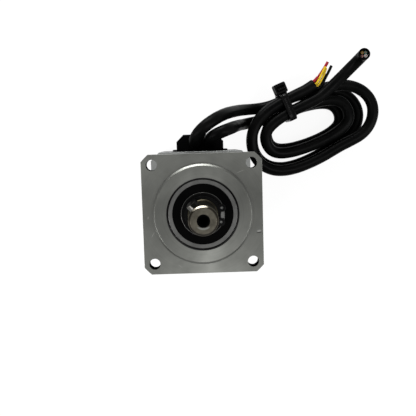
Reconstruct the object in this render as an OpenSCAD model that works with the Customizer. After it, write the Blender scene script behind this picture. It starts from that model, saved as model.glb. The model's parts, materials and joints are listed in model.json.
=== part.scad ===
// Geared servo motor: planetary gear head in front, motor, encoder behind it, two coiled cables.
// The mounting face is z = 0, the shaft points to +Z, the lead outlet is on the +Y side.

/* [Mounting flange] */
// How far the flange and the square motor body stand out past the gear case
flange_margin = 1; // [0.5:0.1:4]
// Thickness of the flange plate
flange_t = 7; // [5:0.5:10]
// How far the turned corners reach out past the flange's sides
corner_out = 10; // [8:0.5:12]
// Distance of the mounting holes from the flange's sides
hole_edge = 5.25; // [4.75:0.05:6]
// Diameter of the mounting holes
hole_d = 5.5; // [4.5:0.1:6]
// Distance of the locating pilot from the flange's sides
pilot_edge = 5; // [3:0.5:7]
// Height of the pilot
pilot_h = 3; // [2:0.5:5]
// Chamfer round the pilot
pilot_chamfer = 1; // [0.5:0.1:1.5]

/* [Gear case] */
// Wall between the ring gear's teeth and its screw holes
ring_wall = 1; // [0.8:0.1:2]
// Distance of the gear case screws from the outside of the case
case_edge = 2.5; // [2.2:0.1:4]
// Room for the carrier behind the second shaft bearing
cup_depth = 4; // [3:0.5:6]
// Gap behind the carrier plate
plate_gap = 1; // [0.5:0.1:2]
// Length of the round part of the motor's front bracket
boss_l = 16; // [14:1:22]
// Web in front of the rotor's front bearing
bracket_web = 2; // [1.5:0.5:5]
// Size of the corner cuts on the square body
corner_cut = 5; // [3:0.5:7]
// Diameter of the gear case screws
case_screw_d = 3; // [2.5:0.5:4]
// How far the gear case screws go into the front housing
case_screw_in = 8; // [5:0.5:10]

/* [Output shaft] */
// Diameter of the output shaft
shaft_d = 14; // [10:1:15]
// How far the shaft stands out of the mounting face
shaft_out = 30; // [25:1:40]
// Step from the shaft up to its bearing seats
shaft_step = 0.5; // [0.5:0.1:1.5]
// How far the bearing seat stands out of the mounting face
seat_out = 4.2; // [3.5:0.1:6]
// Chamfer on the shaft's end
shaft_chamfer = 1; // [0.5:0.1:1.5]
// Diameter of the tapped hole in the shaft's end
tap_d = 4.2; // [3.3:0.1:5]
// Depth of the tapped hole
tap_depth = 12; // [8:1:20]
// Depth of the tapped hole's countersink
tap_sink = 1; // [0.5:0.1:1.5]
// Width and height of the key
key_w = 5; // [4:0.5:5]
// Where the key begins in front of the mounting face
key_start = 5; // [5:0.5:10]
// Distance between the key and the shaft's end
key_end = 5; // [3:0.5:8]
// Depth of the keyway
key_depth = 3; // [2:0.5:3]
// Direction of the key round the shaft
key_angle = 128; // [0:1:359]

/* [Bearings] */
// Outer diameter of the two shaft bearings
shaft_bearing_d = 35; // [32:1:36]
// Width of the two shaft bearings
shaft_bearing_w = 11; // [9:1:11]
// How far the front bearing stands out of the mounting face
bearing_out = 2; // [1:0.1:2.5]
// Length of the sleeve between the shaft bearings
spacer_l = 6; // [5:0.5:8]
// Outer diameter of the two rotor bearings
rotor_bearing_d = 22; // [19:1:24]
// Bore of the rotor bearings
rotor_bore_d = 8; // [7:1:8]
// Width of the rotor bearings
rotor_bearing_w = 7; // [6:1:7]

/* [Gears] */
// Module of all gears
gear_module = 0.8; // [0.8:0.01:0.82]
// Face width of the gears
gear_w = 12; // [10:0.5:14]
// Play between tooth flanks
flank_play = 0.1; // [0.06:0.01:0.14]
// Diameter of the planet pins
pin_d = 5; // [4:0.5:5]
// Radial clearance of a running fit
running_gap = 0.04; // [0.02:0.01:0.08]

/* [Motor] */
// Wall of the stator housing at the middle of its sides
stator_wall = 3; // [2.5:0.25:3.5]
// Length of the lamination stack
stack_l = 20; // [16:1:30]
// Room in front of the lamination stack
stack_front = 5; // [4.5:0.5:8]
// Room behind the lamination stack
stack_rear = 9; // [6:0.5:12]
// Inner diameter of the stator
gap_d = 30; // [29:0.5:31]
// Width of the air gap
air_gap = 0.5; // [0.3:0.1:0.8]
// Web behind the rotor's rear bearing
rear_web = 2; // [2:0.5:4]
// Room behind the code disc
cover_gap = 2.8; // [1:0.1:8]
// Distance of the long bolts from the body's sides
bolt_edge = 6; // [5.5:0.25:6.5]
// Diameter of the long bolts
bolt_d = 4; // [3.5:0.5:4]

/* [Lead outlet] */
// Width of the room inside the lead outlet
room_w = 19; // [17:0.5:22]
// Distance of the lead outlet's screws from its sides
outlet_edge = 2.7; // [2.6:0.1:4]
// Wall above the cables in the lead outlet
outlet_roof = 1; // [1:0.1:3]
// Length of the lead outlet
outlet_l = 18; // [18:1:24]
// Chamfer along the top corners of the lead outlet
outlet_chamfer = 4.5; // [3:0.5:5]
// Thickness of the gasket under the lead outlet
gasket_t = 1; // [0.8:0.1:1.5]

/* [Cables] */
// Diameter of the power cable
power_d = 7.6; // [6.5:0.1:7.6]
// Diameter of the encoder cable
encoder_d = 7.6; // [6.5:0.1:7.6]
// Diameter of the insulated wires in the encoder cable
wire_d = 1.5; // [1.2:0.1:1.6]
// Width of the cable tie
tie_w = 5; // [4:0.1:6]
// Thickness of the cable tie's band
tie_t = 1.2; // [1:0.1:1.2]

/* [Hidden] */
$fn = 96;
over = 1;
thin = 0.4;
clear = 0.2;
head_play = 0.2;

// Gears
sun_teeth = 15;
planet_teeth = 21;
ring_teeth = 57;
pressure = 20;
planet_count = 3;
turn_step = 360 / planet_count;
centre_r = gear_module * (sun_teeth + planet_teeth) / 2;
add_share = 1;
ring_add_share = 0.95;
root_share = 1.25;
flank_steps = 4;
sun_tip_r = gear_module * (sun_teeth / 2 + add_share);
sun_root_r = gear_module * (sun_teeth / 2 - root_share);
ring_root_r = gear_module * (ring_teeth / 2 + root_share);

// Widths, from the ring gear out
case_screw_r = case_screw_d / 2;
case_screw_ring = ring_root_r + ring_wall + case_screw_r + clear;
case_screw_count = 4;
case_screw_angle = 45;
socket_share = 0.8;
body_r = case_screw_ring + case_edge;
half_w = body_r + flange_margin;
flange_w = 2 * half_w;
hole_spacing = flange_w - 2 * hole_edge;
pilot_r = half_w - pilot_edge;
bolt_spacing = flange_w - 2 * bolt_edge;
stator_r = half_w - stator_wall;

// Shaft bearings and their seats
shaft_bearing_r = shaft_bearing_d / 2;
shaft_r = shaft_d / 2;
seat_r = shaft_r + shaft_step;
shaft_pitch_r = (shaft_bearing_r + seat_r) / 2;
shaft_ball_share = 0.6;
shaft_ball_d = (shaft_bearing_r - seat_r) * shaft_ball_share;
inner_land_share = 0.275;
outer_land_share = 0.3;
inner_land_r = shaft_pitch_r - shaft_ball_d * inner_land_share;
outer_land_r = shaft_pitch_r + shaft_ball_d * outer_land_share;
seal_seat = 0.85;
seal_r = outer_land_r + seal_seat;
seal_t = 0.8;
seal_sink = 0.3;
shaft_balls = 8;
cage_w_share = 0.3;
cage_h_share = 0.4;
shaft_cage = shaft_ball_d * cage_w_share;
shaft_cage_h = shaft_ball_d * cage_h_share;
race_gap = 0.05;
shoulder_w = 2;
shoulder_r = shaft_bearing_r - shoulder_w;
mouth_chamfer = 0.5;
ring_chamfer = 0.4;
front_z0 = bearing_out - shaft_bearing_w;
carrier_bearing_z1 = front_z0 - spacer_l;
carrier_bearing_z0 = carrier_bearing_z1 - shaft_bearing_w;

// Rotor bearings
rotor_bearing_r = rotor_bearing_d / 2;
rotor_r = rotor_bore_d / 2;
rotor_pitch_r = (rotor_bearing_r + rotor_r) / 2;
rotor_ball_share = 4 / 7;
rotor_ball_d = (rotor_bearing_r - rotor_r) * rotor_ball_share;
rotor_land_share = 0.3625;
rotor_inner_land_r = rotor_pitch_r - rotor_ball_d * rotor_land_share;
rotor_outer_land_r = rotor_pitch_r + rotor_ball_d * rotor_land_share;
rotor_balls = 7;
rotor_cage = rotor_ball_d * cage_w_share;
rotor_cage_h = rotor_ball_d * cage_h_share;

// Carrier and output shaft
hub_w = 2.5;
hub_r = seat_r + hub_w;
hub_l = 2;
cup_step = 1.8;
cup_r = ring_root_r - cup_step;
disc_gap = 1;
disc_r = cup_r - disc_gap;
disc_t = 5;
disc_z1 = carrier_bearing_z0 - hub_l;
disc_z0 = disc_z1 - disc_t;
post_r = 3.5;
post_edge = 0.5;
post_ring = disc_r - post_edge - post_r;
face_gap = 1;
gear_z1 = disc_z0 - face_gap;
gear_z0 = gear_z1 - gear_w;
plate_z1 = gear_z0 - face_gap;
plate_t = 4;
plate_z0 = plate_z1 - plate_t;
plate_step = 0.5;
plate_r = disc_r - plate_step;
plate_hole_gap = 1.7;
plate_hole_r = sun_tip_r + plate_hole_gap;
pin_r = pin_d / 2;
pin_in = 4;
carrier_screw_r = 1.5;
carrier_screw_head_r = 2.75;
carrier_screw_l = 12;
carrier_screw_cone = carrier_screw_head_r - carrier_screw_r;
step_chamfer = 0.3;
groove_depth = 0.35;
groove_r = seat_r - groove_depth;
circlip_t = 1;
circlip_band = 1.9;
circlip_lug_r = 1.9;
circlip_lug_out = 2.75;
circlip_lug_at = groove_r + circlip_lug_out;
circlip_angle = -4;
circlip_gap = 1.9;
lug_hole_r = 0.7;
lug_angle = 21;

// Stations along the axis, from the mounting face back
case_tap_spare = 1;
case_tap_l = case_screw_in + case_tap_spare;
bearing_inset = 1;
washer_l = 1;
pad_h = 1;
board_t = 1.6;
reader_h = 2;
reading_gap = 0.8;
code_disc_t = 0.8;
cover_wall = 2;
z_case = carrier_bearing_z0 - cup_depth;
z_ring = plate_z0 - plate_gap;
z_boss = z_ring - boss_l;
z_bracket = z_boss - bracket_web - rotor_bearing_w - bearing_inset;
front_bearing_z0 = z_bracket + bearing_inset;
front_bearing_z1 = front_bearing_z0 + rotor_bearing_w;
stack_z1 = z_bracket - stack_front;
stack_z0 = stack_z1 - stack_l;
z_stator = stack_z0 - stack_rear;
rear_bearing_z1 = z_stator + bearing_inset;
rear_bearing_z0 = rear_bearing_z1 - rotor_bearing_w;
z_rear = rear_bearing_z0 - washer_l - rear_web;
board_z1 = z_rear - pad_h;
board_z0 = board_z1 - board_t;
shaft_end = board_z0 - reader_h - reading_gap - code_disc_t;
z_floor = shaft_end - cover_gap - cover_wall;

// Motor
rotor_step = 1.5;
rotor_step_r = rotor_r + rotor_step;
sun_step = 1;
sun_bore_r = rotor_r - sun_step;
sun_hub_step = 0.1;
sun_hub_r = sun_root_r - sun_hub_step;
seal_pocket_w = 4;
seal_pocket_r = rotor_r + seal_pocket_w;
seal_pocket_l = 5;
shaft_play = 1;
bracket_shaft_r = rotor_r + shaft_play;
gap_r = gap_d / 2;
winding_h = 3.5;
winding_in = 2;
winding_out = 3.5;
winding_r0 = gap_r + winding_in;
winding_r1 = stator_r - winding_out;
slot_count = 12;
slot_in = 4.5;
slot_ring = gap_r + slot_in;
slot_r = 2.1;
slot_mouth = 1.5;
wire_play = 0.2;
magnet_t = 2;
magnet_count = 8;
magnet_gap_angle = 4;
rotor_core_r = gap_r - air_gap - magnet_t;
washer_t = 0.4;
washer_in = 1.8;
washer_out = 0.3;
washer_r0 = rotor_bearing_r - washer_in;
washer_r1 = rotor_bearing_r - washer_out;
washer_pad_share = 0.3;
washer_pads = 3;
rear_hole_step = 2;
rear_hole_r = rotor_bearing_r - rear_hole_step;
spigot_l = 2;
spigot_t = 3;
bolt_r = bolt_d / 2;
bolt_head_r = 3.5;
bolt_head_h = 4;
bolt_in = 6;
case_head_r = 2.75;
case_head_h = 3;
case_head_depth = 6;
case_head_z = z_bracket + case_head_depth;

// Encoder
board_r = 20;
pad_r = 2.6;
board_screw_ring = 17;
board_screw_r = 1;
board_screw_count = 3;
board_screw_angle = 30;
board_screw_head_r = 1.9;
board_screw_head_h = 1.3;
board_screw_in = 4;
reader_ring = 11.5;
reader_l = 6;
reader_w = 5;
chip_w = 5;
chip_h = 1.2;
chip_ring = 16;
chip_angle = 60;
plug_w = 8;
plug_l = 4;
plug_h = 2.4;
code_disc_r = 14;
code_hub_w = 1.5;
code_hub_r = rotor_r + code_hub_w;
code_hub_l = 3;
board_hole_gap = 2;
board_hole_r = code_hub_r + board_hole_gap;
cover_screw_edge = 2.75;
cover_screw_ring = half_w - cover_screw_edge;
cover_screw_r = 1.25;
cover_screw_count = 4;
cover_screw_head_r = 2.4;
cover_screw_cone = cover_screw_head_r - cover_screw_r;
cover_screw_in = 5;
cover_room_wall = 1.3;
cover_room_r = cover_screw_ring - cover_screw_r - clear - cover_room_wall;

// Lead outlet
grommet_wall = 0.2;
grommet_r = max(power_d, encoder_d) / 2 + grommet_wall;
grommet_l = 5;
grommet_out = 1;
core_bore_r = 2.5;
exit_lift = 0.6;
exit_rise = grommet_r + exit_lift;
exit_gap = 0.8;
exit_encoder_x = -3.2;
exit_power_x = exit_encoder_x + 2 * grommet_r + exit_gap;
outlet_h = exit_rise + grommet_r + outlet_roof;
outlet_z1 = z_stator + outlet_l;
outlet_y0 = half_w + gasket_t;
outlet_y1 = outlet_y0 + outlet_h;
room_roof = 2;
room_h = outlet_h - room_roof;
outlet_wall = 3;
room_z0 = z_stator + outlet_wall;
room_z1 = outlet_z1 - grommet_l;
window_w = 18;
window_l = 6;
window_inset = 2;
window_z0 = z_stator + window_inset;
outlet_screw_r = 1.25;
outlet_screw_head_r = 2.2;
outlet_screw_head_h = 2.2;
outlet_screw_wall = 0.4;
outlet_screw_at = room_w / 2 + outlet_screw_wall + head_play + outlet_screw_head_r;
outlet_screw_inset = 5;
outlet_screw_z = z_stator + outlet_screw_inset;
outlet_screw_seat = 2.5;
outlet_screw_in = 3.5;
outlet_w = 2 * (outlet_screw_at + outlet_edge);
gasket_side = 2.5;
gasket_w = outlet_w + 2 * gasket_side;
gasket_out = 2;
exit_y = outlet_y0 + exit_rise;
exit_z = outlet_z1 + grommet_out;

// Coil: the two cables are wound side by side, and rise by one layer in each turn
power_r = power_d / 2;
encoder_r = encoder_d / 2;
tie_from_x = 34.5;
tie_from_y = 25.5;
tie_x = half_w + tie_from_x;
tie_y = half_w + tie_from_y;
coil_turns = 2;
rings_per_turn = 24;
coil_sides = 6;
cord_sides = 8;
wire_sides = 6;
floor_gap = 0.2;
layer_gap = 1.2;
side_gap = 0.8;
tie_lift = 0.2;
layer_base = floor_gap + tie_t + tie_lift + max(power_r, encoder_r);
layer_step = 2 * max(power_r, encoder_r) + layer_gap;
side_step = power_r + encoder_r + side_gap;
oval_l0 = 13.2;
oval_l1 = 2.3;
oval_b0 = 12;
oval_b1 = 1;
oval_start = 97;
oval_lean = 17;
oval_turn = 2.5;
rise_from = 0.5;
rise_to = 0.92;
right_spread = [4.5, 8.5, 8.5];
left_spread = [4.5, 3.5, 3.5];
right_from = 0.1;
right_to = 0.48;
left_from = 0.4;
left_to = 0.9;
turn_slice = 0.002;
slice_share = 0.25;
oval_flat_share = 0.5;
lead_straight = 5;
tail_straight = 2;

function unit(v) = v / norm(v);
function ramp(x) = let(c = min(max(x, 0), 1)) c * c * (3 - 2 * c);
function swell(f, a, b) = pow(sin(180 * min(max((f - a) / (b - a), 0), 1)), 2);
function oval(th, l, b) =
    [(l * (1 + oval_flat_share * sin(th) * sin(th)) + b) * cos(th), b * sin(th)];
function turned(v, a) = [v[0] * cos(a) - v[1] * sin(a), v[0] * sin(a) + v[1] * cos(a)];
function oval_part(t, th) = oval(th, oval_l0 + oval_l1 * t, oval_b0 + oval_b1 * t);
function loop_xy(t) =
    [tie_x, tie_y]
    + turned(oval_part(t, oval_start - 360 * t) - oval_part(t, oval_start), oval_lean + oval_turn * t);
function loop_way(t) = unit(loop_xy(t + turn_slice) - loop_xy(t - turn_slice));
function outward(t) = [-loop_way(t)[1], loop_way(t)[0]];
function whole_turns(t) = floor(t + turn_slice * slice_share);
function layer(t) = whole_turns(t) + ramp((t - whole_turns(t) - rise_from) / (rise_to - rise_from));
function spread(t) =
    let(j = whole_turns(t), f = t - j)
    side_step + right_spread[j] * swell(f, right_from, right_to)
    + left_spread[j] * swell(f, left_from, left_to);
function coil_point(t, s) =
    let(xy = loop_xy(t) + s * spread(t) * outward(t))
    [xy[0], xy[1], z_floor + layer_base + layer_step * layer(t)];
function coil_loops(s) =
    [for (i = [0 : coil_turns * rings_per_turn]) coil_point(i / rings_per_turn, s)];
function way3(t) = [loop_way(t)[0], loop_way(t)[1], 0];
function coil_in(s, d) = coil_point(0, s) - d * way3(0);
function coil_out(s, d) = coil_point(coil_turns, s) + d * way3(coil_turns);
function coil_route(s, d) = concat([coil_in(s, d)], coil_loops(s), [coil_out(s, d)]);
function least(p, q, skip) =
    min([for (i = [0 : len(p) - 1]) for (j = [0 : len(q) - 1]) if (abs(i - j) >= skip) norm(p[i] - q[j])]);

power_coil = coil_route(0, power_d);
encoder_coil = coil_route(1, encoder_d);
skip_share = 1 / 3;
skip_rings = rings_per_turn * skip_share;
echo(power_to_power_gap = least(power_coil, power_coil, skip_rings) - power_d);
echo(encoder_to_encoder_gap = least(encoder_coil, encoder_coil, skip_rings) - encoder_d);
echo(power_to_encoder_gap = least(power_coil, encoder_coil, 0) - power_r - encoder_r);

// Routes of the free stretches of the two cables. A cable's first bends are counted from its exit,
// and the rest sideways from the tie and upwards from the floor.
function from_exit(x, bends) =
    concat([[x, exit_y, exit_z]], [for (q = bends) [x, exit_y, exit_z] + q]);
function from_tie(bends) = [for (q = bends) [tie_x, tie_y, z_floor] + q];
encoder_lead_route = concat(
    from_exit(exit_encoder_x, [[0, 0, encoder_d], [0.4, 2.1, 12.8], [2.8, 6, 16.8], [7.3, 10.1, 17.8],
        [12.5, 13.6, 14.8], [17.1, 16.1, 8.2]]),
    from_tie([[-46.4, -2, 38.6], [-42.3, -0.7, 29], [-37.7, 0.4, 19.4],
        [-32.1, 1.2, 11.2], [-25.5, 1.8, 6.4]]),
    [coil_in(1, encoder_d + lead_straight), coil_in(1, encoder_d)]);
power_lead_route = concat(
    from_exit(exit_power_x, [[0, 0, power_d], [0.9, 1.8, 13.2], [4.1, 4.2, 18], [9, 6.3, 18.4],
        [13.2, 7.8, 13.6], [15.6, 8.7, 5.6]]),
    from_tie([[-41.7, -10.6, 34.8], [-39.9, -10, 25], [-37.4, -9.2, 15.6],
        [-33.6, -8.5, 8.6], [-28.5, -7.4, 5.4]]),
    [coil_in(0, power_d + lead_straight), coil_in(0, power_d)]);
power_tail_route = concat(
    [coil_out(0, power_d), coil_out(0, power_d + tail_straight)],
    from_tie([[17.1, 8.5, 23.2], [23.5, 13.9, 23.4], [29.9, 19.9, 24.4], [35.4, 25.4, 26.6],
        [39.3, 29.5, 30], [41.2, 31.9, 34.4], [41.4, 32.7, 39.4]]));
encoder_tail_route = concat(
    [coil_out(1, encoder_d), coil_out(1, encoder_d + tail_straight)],
    from_tie([[12.2, 15.7, 23.2]]));
wire_curve = [[0, 0, 0], [1.3, 0.8, 0], [4.2, 3.2, 0.3], [6.4, 6.2, 0.8], [8, 9.4, 1.3], [9.2, 12.4, 1.8]];
wire_pitch_u = 2;
wire_pitch_v = 1.1;
core_r = 1;
core_ring = 1.9;
core_count = 4;
core_angle = 45;
core_out = 1.2;

// Cable tie
tie_turn = atan2(loop_way(1)[1], loop_way(1)[0]);
tie_side = 0.7;
tie_corner = 3.5;
tie_head_l = 8;
tie_head_w = 7;
tie_head_h = 7;
tie_tail_l = 4;
tie_step = 1;

// Shapes that several pieces share
module rod(r, z0, z1) {
    translate([0, 0, z0])
        cylinder(r = r, h = z1 - z0);
}

module pipe(r1, r0, z0, z1) {
    difference() {
        rod(r1, z0, z1);
        rod(r0, z0 - over, z1 + over);
    }
}

module square_block(z0, z1) {
    translate([0, 0, z0])
        linear_extrude(height = z1 - z0)
            polygon([
                [half_w, half_w - corner_cut], [half_w - corner_cut, half_w],
                [corner_cut - half_w, half_w], [-half_w, half_w - corner_cut],
                [-half_w, corner_cut - half_w], [corner_cut - half_w, -half_w],
                [half_w - corner_cut, -half_w], [half_w, corner_cut - half_w]]);
}

module at_corners(pitch) {
    for (x = [-0.5, 0.5])
        for (y = [-0.5, 0.5])
            translate([x * pitch, y * pitch, 0])
                children();
}

module round_about(count, ring, start) {
    for (i = [0 : count - 1])
        rotate([0, 0, start + 360 * i / count])
            translate([ring, 0, 0])
                children();
}

// Metal cut away along an edge at height z: side is 1 round a rod and -1 round a hole
module edge_cut(r, z, c, side) {
    rotate_extrude()
        polygon([
            [r + side * over, z - c - over], [r + side * over, z + over],
            [r - side * (c + over), z + over]]);
}

module outer_race(r1, r0, pitch, ball, w, z0) {
    translate([0, 0, z0])
        difference() {
            rod(r1, 0, w);
            rod(r0, -over, w + over);
            translate([0, 0, w / 2])
                rotate_extrude()
                    translate([pitch, 0])
                        circle(r = ball / 2 + race_gap);
        }
}

module inner_race(r1, r0, pitch, ball, w, z0) {
    translate([0, 0, z0])
        difference() {
            rod(r1, 0, w);
            rod(r0, -over, w + over);
            translate([0, 0, w / 2])
                rotate_extrude()
                    translate([pitch, 0])
                        circle(r = ball / 2 + race_gap);
        }
}

module ball_set(pitch, ball, count, cage, cage_h, w, z0) {
    translate([0, 0, z0 + w / 2]) {
        round_about(count, pitch, 0)
            sphere(r = ball / 2);
        pipe(pitch + cage / 2, pitch - cage / 2, -cage_h / 2, cage_h / 2);
    }
}

// Involute tooth outlines
function involute(a) = tan(a) - a * PI / 180;
function flank_angle(teeth, r, play) =
    let(rp = gear_module * teeth / 2, rb = rp * cos(pressure), a = acos(min(1, rb / max(r, rb))))
    90 / teeth - play / (2 * rp) * 180 / PI + (involute(pressure) - involute(a)) * 180 / PI;
function tooth_radii(teeth, r0, r1) =
    let(rb = max(r0, gear_module * teeth / 2 * cos(pressure)))
    concat(rb > r0 ? [r0] : [], [for (i = [0 : flank_steps]) rb + (r1 - rb) * i / flank_steps]);
function gear_outline(teeth, r0, r1, play, phase) =
    let(radii = tooth_radii(teeth, r0, r1), n = len(radii))
    [for (k = [0 : teeth - 1])
        for (j = [0 : 2 * n - 1])
            let(r = radii[j < n ? j : 2 * n - 1 - j], side = j < n ? -1 : 1,
                a = phase + 360 * k / teeth + side * flank_angle(teeth, r, play))
            [r * cos(a), r * sin(a)]];

module external_gear(teeth, z0, z1, phase) {
    rp = gear_module * teeth / 2;
    translate([0, 0, z0])
        linear_extrude(height = z1 - z0)
            polygon(gear_outline(teeth, rp - root_share * gear_module, rp + add_share * gear_module,
                flank_play / 2, phase));
}

// A tube along a route: each ring is square to the route there
function way_at(p, i) =
    i == 0 ? unit(p[1] - p[0])
    : i == len(p) - 1 ? unit(p[i] - p[i - 1])
    : unit(unit(p[i + 1] - p[i]) + unit(p[i] - p[i - 1]));
function ring_at(p, i, r, sides, ref) =
    let(d = way_at(p, i), a = unit(cross(d, ref)), b = cross(d, a))
    [for (k = [0 : sides - 1]) p[i] + r * cos(360 * k / sides) * a + r * sin(360 * k / sides) * b];
function side_faces(rows, sides) =
    [for (i = [0 : rows - 2])
        for (k = [0 : sides - 1])
            for (half = [0 : 1])
                let(m = (k + 1) % sides, a = i * sides, b = a + sides)
                half == 0 ? [a + k, b + k, b + m] : [a + k, b + m, a + m]];

module cord(p, r, sides, ref) {
    rows = len(p);
    points = [for (i = [0 : rows - 1]) for (q = ring_at(p, i, r, sides, ref)) q];
    first = [for (k = [0 : sides - 1]) k];
    last = [for (k = [sides - 1 : -1 : 0]) (rows - 1) * sides + k];
    polyhedron(points = points, faces = concat([first], side_faces(rows, sides), [last]), convexity = 8);
}

module facing(p, d) {
    translate(p)
        rotate([0, acos(d[2]), atan2(d[1], d[0])])
            children();
}

// Front housing and its bearings
module output_flange() {
    color([0.55, 0.56, 0.57])
        difference() {
            union() {
                intersection() {
                    translate([-half_w, -half_w, -flange_t])
                        cube([flange_w, flange_w, flange_t]);
                    rod(half_w + corner_out, -flange_t - over, over);
                }
                rod(body_r, z_case, -flange_t);
                rod(pilot_r, 0, pilot_h - pilot_chamfer);
                translate([0, 0, pilot_h - pilot_chamfer])
                    cylinder(r1 = pilot_r, r2 = pilot_r - pilot_chamfer, h = pilot_chamfer);
            }
            rod(shaft_bearing_r, front_z0, pilot_h + over);
            edge_cut(shaft_bearing_r, pilot_h, mouth_chamfer, -1);
            rod(shoulder_r, carrier_bearing_z1 - over, front_z0 + over);
            rod(shaft_bearing_r, carrier_bearing_z0 - over, carrier_bearing_z1);
            rod(cup_r, z_case - over, carrier_bearing_z0);
            at_corners(hole_spacing)
                rod(hole_d / 2, -flange_t - over, over);
            round_about(case_screw_count, case_screw_ring, case_screw_angle)
                rod(case_screw_r, z_case - over, z_case + case_tap_l);
        }
}

module front_bearing_outer() {
    color([0.72, 0.73, 0.74])
        difference() {
            outer_race(shaft_bearing_r, outer_land_r, shaft_pitch_r, shaft_ball_d, shaft_bearing_w,
                front_z0);
            rod(seal_r, bearing_out - seal_sink - seal_t, bearing_out + over);
            rod(seal_r, front_z0 - over, front_z0 + seal_sink + seal_t);
            edge_cut(shaft_bearing_r, bearing_out, ring_chamfer, 1);
        }
}

module front_bearing_seals() {
    color([0.06, 0.06, 0.06]) {
        pipe(seal_r, inner_land_r + race_gap, bearing_out - seal_sink - seal_t, bearing_out - seal_sink);
        pipe(seal_r, inner_land_r + race_gap, front_z0 + seal_sink, front_z0 + seal_sink + seal_t);
    }
}

module front_bearing_inner() {
    color([0.75, 0.76, 0.77])
        inner_race(inner_land_r, seat_r, shaft_pitch_r, shaft_ball_d, shaft_bearing_w, front_z0);
}

module front_bearing_balls() {
    color([0.8, 0.8, 0.82])
        ball_set(shaft_pitch_r, shaft_ball_d, shaft_balls, shaft_cage, shaft_cage_h, shaft_bearing_w,
            front_z0);
}

module carrier_bearing_outer() {
    color([0.72, 0.73, 0.74])
        outer_race(shaft_bearing_r, outer_land_r, shaft_pitch_r, shaft_ball_d, shaft_bearing_w,
            carrier_bearing_z0);
}

module carrier_bearing_inner() {
    color([0.75, 0.76, 0.77])
        inner_race(inner_land_r, seat_r, shaft_pitch_r, shaft_ball_d, shaft_bearing_w, carrier_bearing_z0);
}

module carrier_bearing_balls() {
    color([0.8, 0.8, 0.82])
        ball_set(shaft_pitch_r, shaft_ball_d, shaft_balls, shaft_cage, shaft_cage_h, shaft_bearing_w,
            carrier_bearing_z0);
}

module bearing_spacer() {
    color([0.7, 0.7, 0.72])
        pipe(hub_r, seat_r, carrier_bearing_z1, front_z0);
}

// Output shaft with the planet carrier
module key_room(h) {
    for (z = [key_start + key_w / 2, shaft_out - key_end - key_w / 2])
        translate([shaft_r - key_depth, 0, z])
            rotate([0, 90, 0])
                cylinder(r = key_w / 2, h = h);
    translate([shaft_r - key_depth, -key_w / 2, key_start + key_w / 2])
        cube([h, key_w, shaft_out - key_end - key_start - key_w]);
}

module output_shaft() {
    color([0.62, 0.58, 0.52])
        difference() {
            union() {
                rod(seat_r, carrier_bearing_z0 - hub_l, seat_out - step_chamfer);
                translate([0, 0, seat_out - step_chamfer])
                    cylinder(r1 = seat_r, r2 = seat_r - step_chamfer, h = step_chamfer);
                rod(shaft_r, seat_out, shaft_out - shaft_chamfer);
                translate([0, 0, shaft_out - shaft_chamfer])
                    cylinder(r1 = shaft_r, r2 = shaft_r - shaft_chamfer, h = shaft_chamfer);
                rod(hub_r, disc_z1, carrier_bearing_z0);
                rod(disc_r, disc_z0, disc_z1);
                round_about(planet_count, post_ring, 90 + turn_step / 2)
                    rod(post_r, plate_z1, disc_z0);
            }
            pipe(seat_r + over, groove_r, bearing_out, bearing_out + circlip_t);
            rod(tap_d / 2, shaft_out - tap_depth, shaft_out + over);
            translate([0, 0, shaft_out - tap_sink])
                cylinder(r1 = tap_d / 2, r2 = tap_d / 2 + tap_sink, h = tap_sink);
            rotate([0, 0, key_angle])
                key_room(shaft_r);
            round_about(planet_count, centre_r, 90)
                rod(pin_r, disc_z0 - over, disc_z0 + pin_in);
            round_about(planet_count, post_ring, 90 + turn_step / 2)
                rod(carrier_screw_r, plate_z1 - over, plate_z0 + carrier_screw_l);
        }
}

module shaft_key() {
    color([0.6, 0.6, 0.58])
        rotate([0, 0, key_angle])
            key_room(key_w);
}

module shaft_circlip() {
    color([0.08, 0.08, 0.08])
        translate([0, 0, bearing_out])
            rotate([0, 0, circlip_angle])
                linear_extrude(height = circlip_t)
                    difference() {
                        union() {
                            circle(r = groove_r + circlip_band);
                            for (s = [-1, 1])
                                rotate(s * lug_angle)
                                    translate([circlip_lug_at, 0])
                                        circle(r = circlip_lug_r);
                        }
                        circle(r = groove_r);
                        for (s = [-1, 1])
                            rotate(s * lug_angle)
                                translate([circlip_lug_at, 0])
                                    circle(r = lug_hole_r);
                        translate([0, -circlip_gap / 2])
                            square([circlip_lug_at + hub_r, circlip_gap]);
                    }
}

module carrier_plate() {
    color([0.5, 0.5, 0.52])
        difference() {
            rod(plate_r, plate_z0, plate_z1);
            rod(plate_hole_r, plate_z0 - over, plate_z1 + over);
            round_about(planet_count, centre_r, 90)
                rod(pin_r, plate_z0 - over, plate_z1 + over);
            round_about(planet_count, post_ring, 90 + turn_step / 2) {
                rod(carrier_screw_r + clear, plate_z0 - over, plate_z1 + over);
                translate([0, 0, plate_z0])
                    cylinder(r1 = carrier_screw_head_r, r2 = carrier_screw_r, h = carrier_screw_cone);
            }
        }
}

module carrier_screws() {
    color([0.2, 0.2, 0.21])
        round_about(planet_count, post_ring, 90 + turn_step / 2) {
            rod(carrier_screw_r, plate_z0 + carrier_screw_cone, plate_z0 + carrier_screw_l);
            translate([0, 0, plate_z0])
                cylinder(r1 = carrier_screw_head_r, r2 = carrier_screw_r, h = carrier_screw_cone);
        }
}

module planet_pins() {
    color([0.78, 0.78, 0.8])
        round_about(planet_count, centre_r, 90)
            rod(pin_r, plate_z0, disc_z0 + pin_in);
}

// Gears
module planet_gear(i) {
    alpha = 90 + turn_step * i;
    phase = alpha + 180 + (alpha * sun_teeth - 180) / planet_teeth;
    color([0.45, 0.45, 0.47])
        translate([centre_r * cos(alpha), centre_r * sin(alpha), 0])
            difference() {
                external_gear(planet_teeth, gear_z0, gear_z1, phase);
                rod(pin_r + running_gap, gear_z0 - over, gear_z1 + over);
            }
}

module planet_gear_1() {
    planet_gear(0);
}

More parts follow.
